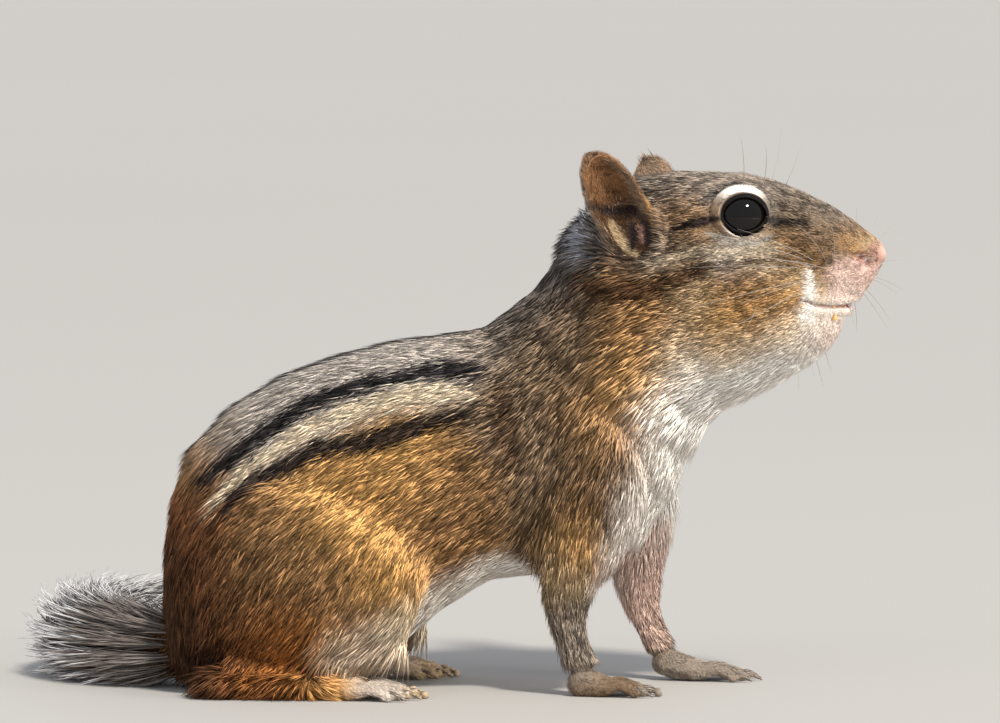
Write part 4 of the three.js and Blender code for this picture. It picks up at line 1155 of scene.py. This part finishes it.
def build_claws():
    """A claw at the end of each toe, bent down to the floor."""
    shapes = []
    for toes, x, side, length in TOE_SETS:
        for i in range(toes["count"]):
            place = i - (toes["count"] - 1) / 2
            reach = length * (1 - 0.07 * place * place)
            y = (toes["distance"] + place * toes["gap"]) * side
            angle = side * place * toes["spread"] * 0.5
            start = x - 0.5 * abs(place)
            line, radii = [], []
            for k in range(8):
                t = k / 7
                along = reach * CLAW_ROOT_SHARE + t * (reach * (1 - CLAW_ROOT_SHARE) + CLAW_LENGTH)
                height = toes["radius"] * (1.05 + 0.35 * math.sin(math.pi * min(t * 1.25, 1)) - 0.85 * t * t)
                line.append((start + along * math.cos(angle), y + along * math.sin(angle), height))
                radii.append(CLAW_RADIUS * (1 - t) ** 0.7 + CLAW_TIP_RADIUS)
            shapes.append(tube(line, radii, sides=8))
    return mesh_object("claws", *joined_pieces(shapes))


def build_whiskers():
    """Whiskers in rows on each pad of the muzzle, and the single ones."""
    random = np.random.default_rng(SEED + 2)
    shapes = []
    cos, sin = math.cos(WHISKER_PAD_TURN), math.sin(WHISKER_PAD_TURN)
    for side in (-1, 1):
        for row in range(WHISKER_ROWS):
            for column in range(WHISKER_COLUMNS):
                forward = 1 - 2 * column / (WHISKER_COLUMNS - 1) + random.normal(0, 0.06)
                up = 1 - 2 * row / (WHISKER_ROWS - 1) + random.normal(0, 0.06)
                ahead = forward * PAD_REACH[0]
                start = on_head(WHISKER_PAD[0] + ahead * cos, WHISKER_PAD[1] - ahead * sin,
                                WHISKER_PAD[2] + up * PAD_REACH[1], side)
                nearness = (1 + forward) / 2
                way = unit(np.array((0.04 + 0.66 * forward, side, (0.4 + 0.35 * nearness) * up)))
                length = REAR_WHISKER + (FRONT_WHISKER - REAR_WHISKER) * nearness + random.normal(0, 0.7)
                shapes.append(whisker(start, head_way(way), length, random))
        for x, distance, z, length, way in SINGLE_WHISKERS:
            start = on_head(x, distance - 0.8, z, side)
            way = unit(np.array(way) * np.array((1, side, 1)))
            shapes.append(whisker(start, head_way(way), length, random))
    return mesh_object("whiskers", *joined_pieces(shapes))


def whisker(start, way, length, random):
    bend = np.array((-0.25, 0.0, -0.12)) + random.normal(0, 0.05, 3)
    t = np.linspace(0, 1, 9)[:, None]
    line = start + way * length * t + bend * length * t * t * 0.5
    radii = WHISKER_RADIUS * (1 - t[:, 0]) ** 0.8 + 0.01
    return tube(line, radii, sides=4)


# Materials

FUR_SPECULAR = 0.12


def set_inputs(node, values):
    for name, value in values.items():
        node.inputs[name].default_value = value


def new_material(name, specular, roughness):
    """A new material with its tree and its shader."""
    material = bpy.data.materials.new(name)
    material.use_nodes = True
    tree = material.node_tree
    tree.nodes.clear()
    shader = tree.nodes.new("ShaderNodeBsdfPrincipled")
    output = tree.nodes.new("ShaderNodeOutputMaterial")
    tree.links.new(shader.outputs["BSDF"], output.inputs["Surface"])
    set_inputs(shader, {"Roughness": roughness, "Specular IOR Level": specular})
    return material, tree, shader


def noise_node(tree, scale):
    noise = tree.nodes.new("ShaderNodeTexNoise")
    noise.inputs["Scale"].default_value = scale
    return noise


def coat_colour(tree):
    """The output of a node that reads the colours of the coat."""
    attribute = tree.nodes.new("ShaderNodeAttribute")
    attribute.attribute_name = "coat"
    return attribute.outputs["Color"]


def hair_material(name):
    material, tree, shader = new_material(name, FUR_SPECULAR, 0.6)
    tree.links.new(coat_colour(tree), shader.inputs["Base Color"])
    return material


def skin_material():
    """The coat's colours with fine noise in their brightness and in the surface."""
    material, tree, shader = new_material("skin_and_short_fur", FUR_SPECULAR, 0.65)
    noise = noise_node(tree, 900.0)
    noise.inputs["Detail"].default_value = 4.0
    ramp = tree.nodes.new("ShaderNodeMapRange")
    set_inputs(ramp, {"From Min": 0.3, "From Max": 0.7, "To Min": 0.75, "To Max": 1.15})
    scale = tree.nodes.new("ShaderNodeVectorMath")
    scale.operation = "SCALE"
    bump = tree.nodes.new("ShaderNodeBump")
    set_inputs(bump, {"Strength": 0.35, "Distance": 0.0003})
    links = tree.links
    links.new(noise.outputs["Fac"], ramp.inputs["Value"])
    links.new(coat_colour(tree), scale.inputs[0])
    links.new(ramp.outputs["Result"], scale.inputs["Scale"])
    links.new(scale.outputs["Vector"], shader.inputs["Base Color"])
    links.new(noise.outputs["Fac"], bump.inputs["Height"])
    links.new(bump.outputs["Normal"], shader.inputs["Normal"])
    return material


def plain_material(name, colour, roughness, coat=0.0, noise_scale=600.0, noise_share=0.25, specular=0.5):
    """One colour with a little noise."""
    material, tree, shader = new_material(name, specular, roughness)
    mix = tree.nodes.new("ShaderNodeMix")
    mix.data_type = "RGBA"
    mix.inputs["A"].default_value = (*colour, 1.0)
    mix.inputs["B"].default_value = (*[c * (1 - noise_share) for c in colour], 1.0)
    tree.links.new(noise_node(tree, noise_scale).outputs["Fac"], mix.inputs["Factor"])
    tree.links.new(mix.outputs["Result"], shader.inputs["Base Color"])
    set_inputs(shader, {"Coat Weight": coat, "Coat Roughness": 0.03})
    return material


# Stage, lights and camera, in metres

FLOOR_RADIUS = 20000.0 * MM
FLOOR_COLOUR = (0.42, 0.405, 0.38)
SKY = (0.86, 0.9, 1.0, 1.0)
SKY_STRENGTH = 0.65
LIGHTS_AIM = (0.0, 0.0, 0.04)


def build_camera():
    data = bpy.data.cameras.new("camera")
    data.sensor_width = 36.0
    data.lens = data.sensor_width * CAMERA_DISTANCE / (IMAGE_WIDTH * MM_PER_PIXEL * MM)
    data.clip_start = 0.01
    data.clip_end = 100.0
    camera = linked("camera", data)
    centre_z = (FLOOR_PIXEL_Y - (IMAGE_HEIGHT - 1) / 2) * MM_PER_PIXEL / math.cos(CAMERA_ELEVATION)
    target = Vector(to_scene([(0.0, 0.0, centre_z)])[0])
    away = Vector((0.0, -math.cos(CAMERA_ELEVATION), math.sin(CAMERA_ELEVATION)))
    camera.location = target + away * CAMERA_DISTANCE
    camera.rotation_euler = (-away).to_track_quat("-Z", "Y").to_euler()
    bpy.context.scene.camera = camera


def new_light(name, kind, way, power, colour):
    """A light that shines along way."""
    data = bpy.data.lights.new(name, kind)
    data.energy = power
    data.color = colour
    light = linked(name, data)
    light.rotation_euler = way.to_track_quat("-Z", "Y").to_euler()
    return light


def area_light(name, place, size, power, colour):
    light = new_light(name, "AREA", Vector(LIGHTS_AIM) - Vector(place), power, colour)
    light.data.shape = "DISK"
    light.data.size = size
    light.visible_glossy = False
    light.location = place


def sun_light(name, place, spread, strength, colour):
    light = new_light(name, "SUN", -Vector(place), strength, colour)
    light.data.angle = math.radians(spread)


def build_stage():
    sides = 96
    turns = [2 * math.pi * i / sides for i in range(sides)]
    rim = [(math.cos(a) * FLOOR_RADIUS / MM, math.sin(a) * FLOOR_RADIUS / MM, -SHIFT[2]) for a in turns]
    floor = mesh_object("floor", rim, [tuple(range(sides))], smooth=False)
    floor.data.materials.append(plain_material("floor_pale", FLOOR_COLOUR, 0.8, noise_scale=30.0,
                                               noise_share=0.05))
    world = bpy.data.worlds.new("studio")
    world.use_nodes = True
    set_inputs(world.node_tree.nodes["Background"], {"Color": SKY, "Strength": SKY_STRENGTH})
    bpy.context.scene.world = world
    sun_light("key", (0.3, -0.6, 0.8), 7.0, 4.0, (1.0, 0.95, 0.87))
    area_light("front", (0.8, -0.5, 0.1), 0.4, 8.0, (1.0, 0.97, 0.92))
    area_light("fill", (-0.5, -0.7, 0.3), 0.7, 2.0, (0.9, 0.95, 1.0))
    bpy.context.scene.view_settings.view_transform = "Standard"


# The model

def paint(piece, material):
    piece.data.materials.clear()
    piece.data.materials.append(material)


def place(piece, material, slot, *nodes):
    """Gives a piece its material, lets it ride on the root and hides the nodes it replaces; slot is not used.
    """
    paint(piece, material)
    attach(piece, "root")
    if nodes:
        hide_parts(*nodes)


def unwrap(piece):
    layer = piece.data.uv_layers.new(name="OFBake")
    piece.data.uv_layers.active = layer
    bpy.context.view_layer.objects.active = piece
    piece.select_set(True)
    bpy.ops.object.mode_set(mode="EDIT")
    bpy.ops.mesh.select_all(action="SELECT")
    bpy.ops.uv.smart_project(angle_limit=math.radians(66), island_margin=0.002)
    bpy.ops.object.mode_set(mode="OBJECT")
    piece.select_set(False)


build_camera()
build_stage()

skin, body_count = build_skin()
unwrap(skin)
skin_points = mesh_points(skin.data)
set_colours(skin.data, marks(skin_points, vertex_values(skin.data, "normal")) * 0.9)
place(skin, skin_material(), "fur_body", *TRUNK_NODES, *PAW_NODES)

fur = hair_material("fur")
for coat in build_coat(skin, body_count):
    place(coat, fur, "fur_body")
place(build_tail_hair(), hair_material("tail_fur"), "fur_tail", *TAIL_NODES)

eye_gloss = plain_material("eye", (0.004, 0.003, 0.0025), 0.04, noise_share=0.4, specular=0.3)
rim_skin = plain_material("lid_edge", (0.008, 0.007, 0.006), 0.6, specular=0.1)
for side_number, side_name in ((1, "left"), (-1, "right")):
    place(build_eye(side_number, f"eyeball_{side_name}"), eye_gloss, "eye", f"eye_{side_name}")
    place(build_eye_rim(side_number, f"lid_edge_{side_name}"), rim_skin, "bare_skin")
place(build_claws(), plain_material("claw_horn", (0.1, 0.075, 0.06), 0.3), "claw")
whisker_hair = plain_material("whisker_hair", (0.35, 0.31, 0.27), 0.35)
place(build_whiskers(), whisker_hair, "whisker", "whiskers_left", "whiskers_right")
paint(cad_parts["incisors"], plain_material("enamel", (0.72, 0.42, 0.15), 0.25, coat=0.5))
